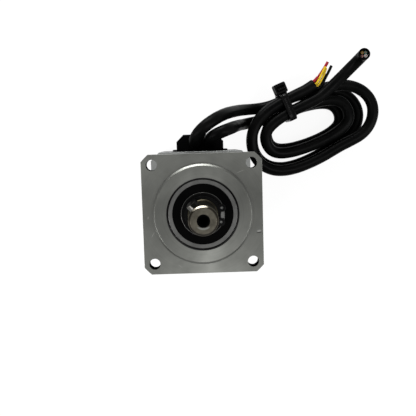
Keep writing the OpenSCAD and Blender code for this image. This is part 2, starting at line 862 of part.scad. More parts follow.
module planet_gear_2() {
    planet_gear(1);
}

module planet_gear_3() {
    planet_gear(2);
}

module sun_gear() {
    color([0.4, 0.4, 0.42])
        difference() {
            union() {
                external_gear(sun_teeth, gear_z0, gear_z1, 0);
                rod(sun_hub_r, z_ring, gear_z0);
            }
            rod(sun_bore_r, z_ring - over, gear_z1 + over);
        }
}

module ring_gear() {
    rp = gear_module * ring_teeth / 2;
    color([0.48, 0.49, 0.5])
        difference() {
            rod(body_r, z_ring, z_case);
            translate([0, 0, z_ring - over])
                linear_extrude(height = z_case - z_ring + 2 * over)
                    polygon(gear_outline(ring_teeth, rp - ring_add_share * gear_module,
                        rp + root_share * gear_module, -flank_play / 2, 0));
            round_about(case_screw_count, case_screw_ring, case_screw_angle)
                rod(case_screw_r + clear, z_ring - over, z_case + over);
        }
}

// Motor
module front_bracket() {
    color([0.6, 0.61, 0.62])
        difference() {
            union() {
                rod(body_r, z_boss, z_ring);
                square_block(z_bracket, z_boss);
            }
            rod(seal_pocket_r, z_ring - seal_pocket_l, z_ring + over);
            rod(bracket_shaft_r, z_bracket - over, z_ring + over);
            rod(rotor_bearing_r, z_bracket - over, front_bearing_z1);
            round_about(case_screw_count, case_screw_ring, case_screw_angle) {
                rod(case_screw_r + clear, z_bracket - over, z_ring + over);
                rod(case_head_r + head_play, z_bracket - over, case_head_z);
            }
            at_corners(bolt_spacing)
                rod(bolt_r, z_bracket - over, z_boss - thin);
        }
}

module gear_case_screws() {
    color([0.15, 0.15, 0.16])
        round_about(case_screw_count, case_screw_ring, case_screw_angle)
            difference() {
                union() {
                    rod(case_screw_r, case_head_z, z_case + case_screw_in);
                    rod(case_head_r, case_head_z - case_head_h, case_head_z);
                }
                rod(case_screw_r * socket_share, case_head_z - case_head_h - over,
                    case_head_z - case_head_h / 2);
            }
}

module input_seal() {
    color([0.25, 0.12, 0.08])
        difference() {
            pipe(seal_pocket_r, rotor_r + running_gap, z_ring - seal_pocket_l, z_ring);
            pipe(seal_pocket_r - over, rotor_r + over, z_ring - over - seal_t, z_ring + over);
        }
}

module rotor_front_bearing_outer() {
    color([0.72, 0.73, 0.74])
        outer_race(rotor_bearing_r, rotor_outer_land_r, rotor_pitch_r, rotor_ball_d, rotor_bearing_w,
            front_bearing_z0);
}

module rotor_front_bearing_inner() {
    color([0.75, 0.76, 0.77])
        inner_race(rotor_inner_land_r, rotor_r, rotor_pitch_r, rotor_ball_d, rotor_bearing_w,
            front_bearing_z0);
}

module rotor_front_bearing_balls() {
    color([0.8, 0.8, 0.82])
        ball_set(rotor_pitch_r, rotor_ball_d, rotor_balls, rotor_cage, rotor_cage_h, rotor_bearing_w,
            front_bearing_z0);
}

module rotor_rear_bearing_outer() {
    color([0.72, 0.73, 0.74])
        outer_race(rotor_bearing_r, rotor_outer_land_r, rotor_pitch_r, rotor_ball_d, rotor_bearing_w,
            rear_bearing_z0);
}

module rotor_rear_bearing_inner() {
    color([0.75, 0.76, 0.77])
        inner_race(rotor_inner_land_r, rotor_r, rotor_pitch_r, rotor_ball_d, rotor_bearing_w,
            rear_bearing_z0);
}

module rotor_rear_bearing_balls() {
    color([0.8, 0.8, 0.82])
        ball_set(rotor_pitch_r, rotor_ball_d, rotor_balls, rotor_cage, rotor_cage_h, rotor_bearing_w,
            rear_bearing_z0);
}

module stator_housing() {
    color([0.13, 0.13, 0.14])
        difference() {
            square_block(z_stator, z_bracket);
            rod(stator_r, z_stator - over, z_bracket + over);
            at_corners(bolt_spacing)
                rod(bolt_r + clear, z_stator - over, z_bracket + over);
            translate([-window_w / 2, 0, window_z0])
                cube([window_w, half_w + over, window_l]);
            for (s = [-1, 1])
                translate([s * outlet_screw_at, outlet_y0 + outlet_screw_seat, outlet_screw_z])
                    rotate([90, 0, 0])
                        cylinder(r = outlet_screw_r, h = half_w);
        }
}

module stator_core() {
    color([0.35, 0.35, 0.37])
        difference() {
            rod(stator_r, stack_z0, stack_z1);
            rod(gap_r, stack_z0 - over, stack_z1 + over);
            round_about(slot_count, slot_ring, 0)
                rod(slot_r, stack_z0 - over, stack_z1 + over);
            for (i = [0 : slot_count - 1])
                rotate([0, 0, 360 * i / slot_count])
                    translate([gap_r - over, -slot_mouth / 2, stack_z0 - over])
                        cube([slot_ring + over - gap_r, slot_mouth, stack_l + 2 * over]);
        }
}

module stator_windings() {
    color([0.72, 0.42, 0.2]) {
        pipe(winding_r1, winding_r0, stack_z1, stack_z1 + winding_h);
        pipe(winding_r1, winding_r0, stack_z0 - winding_h, stack_z0);
        round_about(slot_count, slot_ring, 0)
            rod(slot_r - wire_play, stack_z0 - winding_h, stack_z1 + winding_h);
    }
}

module rotor_shaft() {
    color([0.6, 0.6, 0.62]) {
        rod(sun_bore_r, z_ring, gear_z1);
        rod(rotor_r, front_bearing_z0, z_ring);
        rod(rotor_step_r, rear_bearing_z1, front_bearing_z0);
        rod(rotor_r, shaft_end, rear_bearing_z1);
    }
}

module rotor_core() {
    color([0.4, 0.4, 0.42])
        pipe(rotor_core_r, rotor_step_r, stack_z0, stack_z1);
}

module rotor_magnets() {
    color([0.3, 0.3, 0.33])
        for (i = [0 : magnet_count - 1])
            rotate([0, 0, 360 * i / magnet_count])
                translate([0, 0, stack_z0])
                    rotate_extrude(angle = 360 / magnet_count - magnet_gap_angle)
                        translate([rotor_core_r, 0])
                            square([magnet_t, stack_l]);
}

module rear_bracket() {
    color([0.6, 0.61, 0.62])
        difference() {
            union() {
                square_block(z_rear, z_stator);
                pipe(stator_r, stator_r - spigot_t, z_stator, z_stator + spigot_l);
                round_about(board_screw_count, board_screw_ring, board_screw_angle)
                    rod(pad_r, board_z1, z_rear);
            }
            rod(rotor_bearing_r, rear_bearing_z0 - washer_l, z_stator + over);
            rod(rear_hole_r, z_rear - over, z_stator + over);
            at_corners(bolt_spacing) {
                rod(bolt_r + clear, z_rear - over, z_stator + over);
                rod(bolt_head_r + head_play, z_rear - over, z_rear + bolt_head_h);
            }
            round_about(board_screw_count, board_screw_ring, board_screw_angle)
                rod(board_screw_r, board_z1 - over, z_rear + board_screw_in);
            round_about(cover_screw_count, cover_screw_ring, 0)
                rod(cover_screw_r, z_rear - over, z_rear + cover_screw_in);
        }
}

module wave_washer() {
    z = rear_bearing_z0 - washer_l / 2;
    color([0.65, 0.66, 0.68]) {
        pipe(washer_r1, washer_r0, z - washer_t / 2, z + washer_t / 2);
        round_about(washer_pads, (washer_r0 + washer_r1) / 2, 0)
            rod((washer_r1 - washer_r0) * washer_pad_share, z, rear_bearing_z0);
        round_about(washer_pads, (washer_r0 + washer_r1) / 2, 180 / washer_pads)
            rod((washer_r1 - washer_r0) * washer_pad_share, rear_bearing_z0 - washer_l, z);
    }
}

// Encoder
module encoder_board() {
    color([0.08, 0.3, 0.15])
        difference() {
            union() {
                rod(board_r, board_z0, board_z1);
                rotate([0, 0, chip_angle])
                    translate([chip_ring, 0, board_z0 - chip_h / 2])
                        cube([chip_w, chip_w, chip_h + thin], center = true);
                rotate([0, 0, 180])
                    translate([chip_ring, 0, board_z0 - chip_h / 2])
                        cube([chip_w, chip_w, chip_h + thin], center = true);
                translate([-plug_w / 2, chip_ring - plug_l / 2, board_z0 - plug_h])
                    cube([plug_w, plug_l, plug_h + thin]);
            }
            rod(board_hole_r, board_z0 - over, board_z1 + over);
            round_about(board_screw_count, board_screw_ring, board_screw_angle)
                rod(board_screw_r + clear, board_z0 - over, board_z1 + over);
        }
}

module encoder_reader() {
    color([0.1, 0.1, 0.11])
        translate([-reader_w / 2, -reader_ring - reader_l / 2, board_z0 - reader_h])
            cube([reader_w, reader_l, reader_h]);
}

module board_screws() {
    color([0.7, 0.7, 0.72])
        round_about(board_screw_count, board_screw_ring, board_screw_angle) {
            rod(board_screw_r, board_z0, z_rear + board_screw_in);
            rod(board_screw_head_r, board_z0 - board_screw_head_h, board_z0);
        }
}

module encoder_disc() {
    color([0.55, 0.56, 0.58])
        difference() {
            union() {
                rod(code_disc_r, shaft_end, shaft_end + code_disc_t);
                rod(code_hub_r, shaft_end, shaft_end + code_hub_l);
            }
            rod(rotor_r, shaft_end - over, shaft_end + code_hub_l + over);
        }
}

module encoder_cover() {
    color([0.1, 0.1, 0.11])
        difference() {
            square_block(z_floor, z_rear);
            rod(cover_room_r, z_floor + cover_wall, z_rear + over);
            round_about(cover_screw_count, cover_screw_ring, 0) {
                rod(cover_screw_r + clear, z_floor - over, z_rear + over);
                translate([0, 0, z_floor])
                    cylinder(r1 = cover_screw_head_r, r2 = cover_screw_r, h = cover_screw_cone);
            }
        }
}

module cover_screws() {
    color([0.15, 0.15, 0.16])
        round_about(cover_screw_count, cover_screw_ring, 0) {
            rod(cover_screw_r, z_floor + cover_screw_cone, z_rear + cover_screw_in);
            translate([0, 0, z_floor])
                cylinder(r1 = cover_screw_head_r, r2 = cover_screw_r, h = cover_screw_cone);
        }
}

module tie_bolts() {
    z = z_rear + bolt_head_h;
    color([0.15, 0.15, 0.16])
        at_corners(bolt_spacing)
            difference() {
                union() {
                    rod(bolt_r, z, z_bracket + bolt_in);
                    rod(bolt_head_r, z_rear, z);
                }
                rod(bolt_r * socket_share, z_rear - over, z - bolt_head_h / 2);
            }
}

// Lead outlet
module twin_hole(r, z0, z1) {
    for (x = [exit_encoder_x, exit_power_x])
        translate([x, exit_y, 0])
            rod(r, z0, z1);
}

module twin_block(r, z0, z1) {
    twin_hole(r, z0, z1);
    translate([exit_encoder_x, exit_y - r, z0])
        cube([exit_power_x - exit_encoder_x, 2 * r, z1 - z0]);
}

module lead_outlet() {
    color([0.04, 0.04, 0.045])
        difference() {
            translate([0, 0, z_stator])
                linear_extrude(height = outlet_l)
                    polygon([
                        [-outlet_w / 2, outlet_y0], [outlet_w / 2, outlet_y0],
                        [outlet_w / 2, outlet_y1 - outlet_chamfer],
                        [outlet_w / 2 - outlet_chamfer, outlet_y1],
                        [outlet_chamfer - outlet_w / 2, outlet_y1],
                        [-outlet_w / 2, outlet_y1 - outlet_chamfer]]);
            translate([-room_w / 2, outlet_y0 - over, room_z0])
                cube([room_w, room_h + over, room_z1 - room_z0]);
            twin_block(grommet_r, room_z1 - over, outlet_z1 + over);
            for (s = [-1, 1])
                translate([s * outlet_screw_at, outlet_y0 + outlet_screw_seat, outlet_screw_z]) {
                    rotate([-90, 0, 0])
                        cylinder(r = outlet_screw_head_r + head_play, h = outlet_h);
                    rotate([90, 0, 0])
                        cylinder(r = outlet_screw_r + clear, h = outlet_screw_seat + over);
                }
        }
}

module outlet_gasket() {
    color([0.1, 0.1, 0.11])
        difference() {
            translate([-gasket_w / 2, half_w, z_stator])
                cube([gasket_w, gasket_t, outlet_l + gasket_out]);
            translate([-window_w / 2, half_w - over, window_z0])
                cube([window_w, gasket_t + 2 * over, window_l]);
            for (s = [-1, 1])
                translate([s * outlet_screw_at, half_w - over, outlet_screw_z])
                    rotate([-90, 0, 0])
                        cylinder(r = outlet_screw_r + clear, h = gasket_t + 2 * over);
        }
}

module outlet_screws() {
    color([0.15, 0.15, 0.16])
        for (s = [-1, 1])
            translate([s * outlet_screw_at, outlet_y0 + outlet_screw_seat, outlet_screw_z]) {
                rotate([-90, 0, 0])
                    cylinder(r = outlet_screw_head_r, h = outlet_screw_head_h);
                rotate([90, 0, 0])
                    cylinder(r = outlet_screw_r, h = outlet_screw_seat + gasket_t + outlet_screw_in);
            }
}

module cable_grommet() {
    color([0.03, 0.03, 0.03])
        difference() {
            twin_block(grommet_r, room_z1, exit_z);
            twin_hole(core_bore_r, room_z1 - over, exit_z + over);
        }
}

// Cables
module power_cable_lead() {
    color([0.03, 0.03, 0.035])
        cord(power_lead_route, power_r, cord_sides, [-0.37, 0.93, 0]);
}

module power_cable_coil() {
    color([0.03, 0.03, 0.035])
        cord(power_coil, power_r, coil_sides, [0, 0, 1]);
}

module power_cable_tail() {
    color([0.03, 0.03, 0.035])
        cord(power_tail_route, power_r, cord_sides, [0, 0, 1]);
}

module power_cable_cores() {
    n = len(power_tail_route);
    color([0.6, 0.6, 0.3])
        facing(power_tail_route[n - 1], way_at(power_tail_route, n - 1))
            round_about(core_count, core_ring, core_angle)
                rod(core_r, 0, core_out);
}

module encoder_cable_lead() {
    color([0.03, 0.03, 0.035])
        cord(encoder_lead_route, encoder_r, cord_sides, [-0.37, 0.93, 0]);
}

module encoder_cable_coil() {
    color([0.03, 0.03, 0.035])
        cord(encoder_coil, encoder_r, coil_sides, [0, 0, 1]);
}

module encoder_cable_tail() {
    color([0.03, 0.03, 0.035])
        cord(encoder_tail_route, encoder_r, cord_sides, [0, 0, 1]);
}

// A wire from the bared end of the encoder cable: u counts to the left, v upwards
module bared_wire(u, v, count) {
    n = len(encoder_tail_route);
    way = way_at(encoder_tail_route, n - 1);
    left = unit(cross([0, 0, 1], way));
    start = encoder_tail_route[n - 1] + u * wire_pitch_u * left + v * wire_pitch_v * cross(way, left);
    first = [start, start + wire_d * way];
    rest = [for (i = [2 : count - 1]) start + wire_curve[i]];
    cord(concat(first, rest), wire_d / 2, wire_sides, [0, 0, 1]);
}

module encoder_wires_yellow() {
    color([0.85, 0.68, 0.1]) {
        bared_wire(0, 1, 5);
        bared_wire(1, -1, 5);
    }
}

module encoder_wires_red() {
    color([0.6, 0.05, 0.08]) {
        bared_wire(1, 1, 3);
        bared_wire(0, -1, 6);
    }
}

module encoder_wires_black() {
    color([0.03, 0.03, 0.03]) {
        bared_wire(-1, 1, 6);
        bared_wire(-1, -1, 4);
    }
}

module soft_square(y0, y1, z0, z1, r) {
    translate([y0 + r, z0])
        square([y1 - y0 - 2 * r, z1 - z0]);
    translate([y0, z0 + r])
        square([y1 - y0, z1 - z0 - 2 * r]);
    for (y = [y0 + r, y1 - r])
        for (z = [z0 + r, z1 - r])
            translate([y, z])
                circle(r = r);
}

module cable_tie() {
    y0 = -power_r - tie_side;
    y1 = side_step + encoder_r + tie_side;
    z0 = z_floor + layer_base - power_r - tie_lift;
    z1 = z_floor + layer_base + coil_turns * layer_step + power_r + tie_lift;
    color([0.05, 0.05, 0.05])
        translate([tie_x, tie_y, 0])
            rotate([0, 0, tie_turn]) {
                translate([-tie_w / 2, 0, 0])
                    rotate([90, 0, 90])
                        linear_extrude(height = tie_w)
                            difference() {
                                soft_square(y0 - tie_t, y1 + tie_t, z0 - tie_t, z1 + tie_t,
                                    tie_corner + tie_t);
                                soft_square(y0, y1, z0, z1, tie_corner);
                            }
                translate([-tie_head_l / 2, y1 + tie_t / 2, z1 - tie_head_h - tie_corner / 2])
                    cube([tie_head_l, tie_head_w, tie_head_h]);
                translate([-tie_w / 2, y1 + tie_head_w / 2, z1 - tie_corner / 2 - over])
                    cube([tie_w, tie_t, tie_tail_l]);
                translate([-tie_head_l / 2 - tie_step, y1 + tie_t, z1 - tie_head_h])
                    cube([tie_head_l + 2 * tie_step, tie_head_w / 2, tie_head_h / 2]);
            }
}

output_flange();
front_bearing_outer();
front_bearing_seals();
carrier_bearing_outer();
ring_gear();
front_bracket();
gear_case_screws();
input_seal();
rotor_front_bearing_outer();
stator_housing();
stator_core();
stator_windings();
rear_bracket();
rotor_rear_bearing_outer();
wave_washer();
encoder_board();
encoder_reader();
board_screws();
encoder_cover();
cover_screws();
tie_bolts();
lead_outlet();
outlet_gasket();
outlet_screws();
cable_grommet();
power_cable_lead();
power_cable_coil();
power_cable_tail();
power_cable_cores();
encoder_cable_lead();
encoder_cable_coil();
encoder_cable_tail();
encoder_wires_yellow();
encoder_wires_red();
encoder_wires_black();
cable_tie();
output_shaft();
shaft_key();
shaft_circlip();
front_bearing_inner();
carrier_bearing_inner();
bearing_spacer();
carrier_plate();
carrier_screws();
planet_pins();
front_bearing_balls();
carrier_bearing_balls();
rotor_front_bearing_balls();
rotor_rear_bearing_balls();
planet_gear_1();
planet_gear_2();
planet_gear_3();
rotor_shaft();
sun_gear();
rotor_core();
rotor_magnets();
encoder_disc();
rotor_front_bearing_inner();
rotor_rear_bearing_inner();
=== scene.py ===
import json
import math

import bmesh
import bpy
import numpy as np
from mathutils import Matrix, Vector

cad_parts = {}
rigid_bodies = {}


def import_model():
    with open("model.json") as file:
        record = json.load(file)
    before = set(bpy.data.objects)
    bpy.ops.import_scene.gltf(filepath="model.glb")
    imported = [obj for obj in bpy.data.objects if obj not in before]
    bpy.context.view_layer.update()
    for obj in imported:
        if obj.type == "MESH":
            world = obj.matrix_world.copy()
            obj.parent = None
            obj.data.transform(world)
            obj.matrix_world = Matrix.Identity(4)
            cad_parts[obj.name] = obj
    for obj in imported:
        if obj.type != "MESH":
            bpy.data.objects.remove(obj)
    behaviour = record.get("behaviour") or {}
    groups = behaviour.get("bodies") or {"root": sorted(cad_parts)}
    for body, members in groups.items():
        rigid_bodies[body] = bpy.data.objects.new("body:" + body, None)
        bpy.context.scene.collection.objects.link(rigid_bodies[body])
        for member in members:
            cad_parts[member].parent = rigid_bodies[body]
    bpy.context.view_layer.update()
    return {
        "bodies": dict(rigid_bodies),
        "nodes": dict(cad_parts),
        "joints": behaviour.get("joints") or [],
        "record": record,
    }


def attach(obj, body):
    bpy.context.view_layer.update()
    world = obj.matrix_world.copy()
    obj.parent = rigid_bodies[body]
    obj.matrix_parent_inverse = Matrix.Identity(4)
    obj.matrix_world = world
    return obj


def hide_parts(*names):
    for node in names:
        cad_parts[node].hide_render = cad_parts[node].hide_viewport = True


# Geared servo motor seen from its shaft end. It stands on its rear cover, and the camera looks down
# at the mounting face, which is z = 0. Lengths are in metres.
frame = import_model()
nodes = frame["nodes"]
mm = 0.001
print("frame loaded:", len(nodes), "nodes")

# Camera
camera = {
    "place": (-0.00181, 0.03507, 0.30751),
    "look": (0.0144, -0.1044, -0.9944),      # viewing direction
    "up": (0.0306, 0.9941, -0.1039),
    "lens": 53.78,                           # on a 36 mm wide sensor
}


def aimMatrix(place, look, up):
    back = -Vector(look).normalized()
    right = Vector(up).cross(back).normalized()
    trueUp = back.cross(right)
    turn = Matrix((right, trueUp, back)).transposed()
    return Matrix.Translation(place) @ turn.to_4x4()


def addCamera():
    data = bpy.data.cameras.new("camera")
    data.lens = camera["lens"]
    data.sensor_width = 36
    data.sensor_fit = "HORIZONTAL"
    data.clip_start = 0.01
    data.clip_end = 20
    data.dof.use_dof = False
    cam = bpy.data.objects.new("camera", data)
    bpy.context.collection.objects.link(cam)
    cam.matrix_world = aimMatrix(camera["place"], camera["look"], camera["up"])
    bpy.context.scene.camera = cam


addCamera()
print("camera set")

# Cables. Both run from the lead outlet down to the floor, through the tie, twice round and out again.
cables = {
    "diameter": 7.6 * mm,
    "exitY": 35.6, "exitZ": -93.0,
    "powerX": 5.6, "encoderX": -3.2,
    "floor": -132.0,
    "tie": (64.5, 55.5),          # where the strands pass the tie, seen from above
    "turns": 2, "perTurn": 24,
    "base": 5.4, "rise": 8.8,     # height of the lowest strand, and of each layer
    "side": 8.4,                  # distance between the two cables at the tie
    "ovalLength": (13.2, 2.3), "ovalWidth": (12.0, 1.0), "start": 97.0, "lean": (17.0, 2.5),
    "riseFrom": 0.5, "riseTo": 0.92,
    "spreadRight": (4.5, 8.5, 8.5), "rightFrom": 0.1, "rightTo": 0.48,
    "spreadLeft": (4.5, 3.5, 3.5), "leftFrom": 0.4, "leftTo": 0.9,
    "straight": 5.0, "tailStraight": 2.0,
    "powerLead": [(6.5, 37.4, -79.8), (9.7, 39.8, -75), (14.6, 41.9, -74.6), (18.8, 43.4, -79.4),
                  (21.2, 44.3, -87.4), (22.8, 44.9, -97.2), (24.6, 45.5, -107), (27.1, 46.3, -116.4),
                  (30.9, 47, -123.4), (36, 48.1, -126.6)],
    "encoderLead": [(-2.8, 37.7, -80.2), (-0.4, 41.6, -76.2), (4.1, 45.7, -75.2), (9.3, 49.2, -78.2),
                    (13.9, 51.7, -84.8), (18.1, 53.5, -93.4), (22.2, 54.8, -103), (26.8, 55.9, -112.6),
                    (32.4, 56.7, -120.8), (39, 57.3, -125.6)],
    "powerTail": [(81.6, 64, -108.8), (88, 69.4, -108.6), (94.4, 75.4, -107.6), (99.9, 80.9, -105.4),
                  (103.8, 85, -102), (105.7, 87.4, -97.6), (105.9, 88.2, -92.6)],
    "encoderTail": [(76.7, 71.2, -108.8)],
}


def unit(v):
    return v / np.linalg.norm(v)


def ramp(x):
    x = min(max(x, 0.0), 1.0)
    return x * x * (3 - 2 * x)


def swell(share, low, high):
    return math.sin(math.pi * min(max((share - low) / (high - low), 0.0), 1.0)) ** 2


def oval(turn, angle):
    length = cables["ovalLength"][0] + cables["ovalLength"][1] * turn
    width = cables["ovalWidth"][0] + cables["ovalWidth"][1] * turn
    c, s = math.cos(angle), math.sin(angle)
    return np.array([length * c * (1.5 - 0.5 * c * c) + width * c, width * s])


def loopPlan(turn):
    start = math.radians(cables["start"])
    lean = math.radians(cables["lean"][0] + cables["lean"][1] * turn)
    step = oval(turn, start - 2 * math.pi * turn) - oval(turn, start)
    c, s = math.cos(lean), math.sin(lean)
    x, y = cables["tie"]
    return np.array([x + c * step[0] - s * step[1], y + s * step[0] + c * step[1]])


def loopWay(turn):
    return unit(loopPlan(turn + 0.002) - loopPlan(turn - 0.002))


def coilPoint(turn, outer):
    whole = math.floor(turn + 0.0005)
    share = turn - whole
    way = loopWay(turn)
    aside = cables["side"]
    aside += cables["spreadRight"][whole] * swell(share, cables["rightFrom"], cables["rightTo"])
    aside += cables["spreadLeft"][whole] * swell(share, cables["leftFrom"], cables["leftTo"])
    layer = whole + ramp((share - cables["riseFrom"]) / (cables["riseTo"] - cables["riseFrom"]))
    flat = loopPlan(turn) + outer * aside * np.array([-way[1], way[0]])
    return np.array([flat[0], flat[1], cables["floor"] + cables["base"] + cables["rise"] * layer])


def cableRoute(outer, exitX, lead, tail):
    # the same points as the solids follow, from the grommet to the free end
    size = cables["diameter"] / mm
    first = np.array([exitX, cables["exitY"], cables["exitZ"]])
    wayIn = np.array([*loopWay(0), 0])
    wayOut = np.array([*loopWay(cables["turns"]), 0])
    begin = coilPoint(0, outer) - size * wayIn
    route = [first, first + [0, 0, size]] + [np.array(p, float) for p in lead]
    route += [begin - cables["straight"] * wayIn, begin]
    count = cables["turns"] * cables["perTurn"]
    route += [coilPoint(i / cables["perTurn"], outer) for i in range(count + 1)]
    end = coilPoint(cables["turns"], outer) + size * wayOut
    route += [end, end + cables["tailStraight"] * wayOut] + [np.array(p, float) for p in tail]
    return np.array(route) * mm


def smoothPath(points, step):
    # one spline with even curvature through the points, cut into even steps
    gaps = np.linalg.norm(np.diff(points, axis=0), axis=1)
    knots = np.r_[0, np.cumsum(gaps)]
    count = len(points)
    matrix = np.eye(count)
    right = np.zeros_like(points)
    rates = np.diff(points, axis=0) / gaps[:, None]
    for i in range(1, count - 1):
        matrix[i, i - 1:i + 2] = gaps[i - 1], 2 * (gaps[i - 1] + gaps[i]), gaps[i]
        right[i] = 6 * (rates[i] - rates[i - 1])
    curve = np.linalg.solve(matrix, right)
    at = np.linspace(0, knots[-1], max(4, int(knots[-1] / step)))
    i = np.clip(np.searchsorted(knots, at, side="right") - 1, 0, len(gaps) - 1)
    h = gaps[i][:, None]
    a = (knots[i + 1] - at)[:, None] / h
    b = 1 - a
    return a * points[i] + b * points[i + 1] + ((a**3 - a) * curve[i] + (b**3 - b) * curve[i + 1]) * h * h / 6


def pathLength(path):
    return float(np.linalg.norm(np.diff(path, axis=0), axis=1).sum())


def ringFrames(path):
    # turning as little as possible from ring to ring
    ways = np.gradient(path, axis=0)
    ways /= np.linalg.norm(ways, axis=1)[:, None]
    side = unit(np.cross(ways[0], [0.31, 0.11, 0.94] if abs(ways[0][2]) < 0.9 else [1, 0, 0]))
    frames = []
    for way in ways:
        side = unit(side - way * np.dot(side, way))
        frames.append((side, np.cross(way, side)))
    return ways, frames


def bridgeRings(bm, rows, material=0, smooth=True):
    sides = len(rows[0])
    for low, high in zip(rows, rows[1:]):
        for k in range(sides):
            face = bm.faces.new((low[k], low[(k + 1) % sides], high[(k + 1) % sides], high[k]))
            face.smooth = smooth
            face.material_index = material


def capRing(bm, row, material=0):
    face = bm.faces.new(row)
    face.material_index = material


def addTube(bm, path, radii, sides=24, material=0, mouth=None):
    # a round tube; mouth is (inner radius, depth) of an open far end with a rounded lip
    ways, frames = ringFrames(path)

    def ring(centre, frame, r):
        a, b = frame
        turns = [2 * math.pi * k / sides for k in range(sides)]
        return [bm.verts.new(centre + r * (math.cos(t) * a + math.sin(t) * b)) for t in turns]

    rows = [ring(point, here, r) for point, here, r in zip(path, frames, radii)]
    if mouth:
        inner, depth = mouth
        end, way, last, r = path[-1], ways[-1], frames[-1], radii[-1]
        lip = 0.12 * r
        for forward, size in ((0.6 * lip, r - 0.4 * lip), (lip, r - lip), (0.8 * lip, inner + 0.4 * lip),
                              (0.2 * lip, inner), (-depth, inner)):
            rows.append(ring(end + way * forward, last, size))
    bridgeRings(bm, rows, material)
    capRing(bm, list(reversed(rows[0])), material)
    capRing(bm, rows[-1], material)


def finishMesh(name, bm):
    mesh = bpy.data.meshes.new(name)
    bmesh.ops.recalc_face_normals(bm, faces=bm.faces)
    bm.to_mesh(mesh)
    bm.free()
    obj = bpy.data.objects.new(name, mesh)
    bpy.context.collection.objects.link(obj)
    return obj


# Small helpers for node materials
def newMaterial(name, color, metallic=0.0, roughness=0.5):
    mat = bpy.data.materials.new(name)
    mat.use_nodes = True
    tree = mat.node_tree
    shader = tree.nodes["Principled BSDF"]
    shader.inputs["Base Color"].default_value = (*color, 1)
    shader.inputs["Metallic"].default_value = metallic
    shader.inputs["Roughness"].default_value = roughness
    return mat, tree, shader


def addNode(tree, kind, **values):
    node = tree.nodes.new(kind)
    for key, value in values.items():
        setattr(node, key, value)
    return node


def place(tree):
    return addNode(tree, "ShaderNodeTexCoord").outputs["Object"]


def stretched(tree, vector, scale):
    node = addNode(tree, "ShaderNodeMapping")
    node.inputs["Scale"].default_value = scale
    tree.links.new(vector, node.inputs["Vector"])
    return node.outputs["Vector"]


def noise(tree, vector, scale, detail=3.0, roughness=0.5):
    node = addNode(tree, "ShaderNodeTexNoise")
    node.inputs["Scale"].default_value = scale
    node.inputs["Detail"].default_value = detail
    node.inputs["Roughness"].default_value = roughness
    tree.links.new(vector, node.inputs["Vector"])
    return node.outputs["Fac"]


def spread(tree, value, low, high, fromLow=0.0, fromHigh=1.0):
    node = addNode(tree, "ShaderNodeMapRange")
    node.inputs["From Min"].default_value = fromLow
    node.inputs["From Max"].default_value = fromHigh
    node.inputs["To Min"].default_value = low
    node.inputs["To Max"].default_value = high
    tree.links.new(value, node.inputs["Value"])
    return node.outputs["Result"]


def feed(tree, sockets, values):
    # each value is a number, a colour or another node's output
    for socket, value in zip(sockets, values):
        if isinstance(value, (int, float)):
            socket.default_value = value
        elif isinstance(value, tuple):
            socket.default_value = (*value, 1)
        else:
            tree.links.new(value, socket)


def sums(tree, kind, first, second=0.0):
    node = addNode(tree, "ShaderNodeMath", operation=kind)
    feed(tree, node.inputs, (first, second))
    return node.outputs[0]


def plus(tree, first, second):
    return sums(tree, "ADD", first, second)


def minus(tree, first, second):
    return sums(tree, "SUBTRACT", first, second)


def times(tree, first, second):
    return sums(tree, "MULTIPLY", first, second)


def mixColors(tree, share, first, second, kind="MIX"):
    node = addNode(tree, "ShaderNodeMix", data_type="RGBA", blend_type=kind)
    feed(tree, (node.inputs[0], node.inputs[6], node.inputs[7]), (share, first, second))
    return node.outputs[2]


def parts(tree, vector):
    node = addNode(tree, "ShaderNodeSeparateXYZ")
    tree.links.new(vector, node.inputs[0])
    return node.outputs[0], node.outputs[1], node.outputs[2]


def joined(tree, x, y, z=0.0):
    node = addNode(tree, "ShaderNodeCombineXYZ")
    feed(tree, node.inputs, (x, y, z))
    return node.outputs[0]


def axisDistance(tree, vector, x=0.0, y=0.0):
    # distance from an axis along z
    px, py, _ = parts(tree, vector)
    dx, dy = minus(tree, px, x), minus(tree, py, y)
    return sums(tree, "SQRT", plus(tree, times(tree, dx, dx), times(tree, dy, dy)))


def shades(color, low, high):
    return tuple(c * low for c in color), tuple(c * high for c in color)


def turnedRings(tree, vector):
    # a place that only changes with the distance from the shaft's axis and the height: a lathe's rings
    height = parts(tree, vector)[2]
    return joined(tree, axisDistance(tree, vector), height)


def band(tree, value, low, high, soft):
    # 1 between low and high, and 0 outside
    rising = spread(tree, value, 0.0, 1.0, low - soft, low + soft)
    falling = spread(tree, value, 1.0, 0.0, high - soft, high + soft)
    return times(tree, rising, falling)


def scratch(tree, vector, x, y, angle, length, width):
    # a mark on a face that looks along z
    px, py, _ = parts(tree, vector)
    dx, dy = minus(tree, px, x), minus(tree, py, y)
    c, s = math.cos(math.radians(angle)), math.sin(math.radians(angle))
    along = plus(tree, times(tree, dx, c), times(tree, dy, s))
    across = minus(tree, times(tree, dy, c), times(tree, dx, s))
    inLength = band(tree, along, -length / 2, length / 2, length / 5)
    return times(tree, inLength, band(tree, across, -width / 2, width / 2, width / 3))


def tint(tree, shader, mask, color):
    # lays a colour over the one that is there
    links = shader.inputs["Base Color"].links
    old = links[0].from_socket if links else tuple(shader.inputs["Base Color"].default_value)[:3]
    tree.links.new(mixColors(tree, mask, old, color), shader.inputs["Base Color"])


def roundEdges(tree, width):
    node = addNode(tree, "ShaderNodeBevel", samples=6)
    node.inputs["Radius"].default_value = width
    return node.outputs["Normal"]


def bump(tree, shader, height, strength, distance, normal=None):
    node = addNode(tree, "ShaderNodeBump")
    node.inputs["Strength"].default_value = strength
    node.inputs["Distance"].default_value = distance
    tree.links.new(height, node.inputs["Height"])
    if normal is not None:
        tree.links.new(normal, node.inputs["Normal"])
    tree.links.new(node.outputs["Normal"], shader.inputs["Normal"])


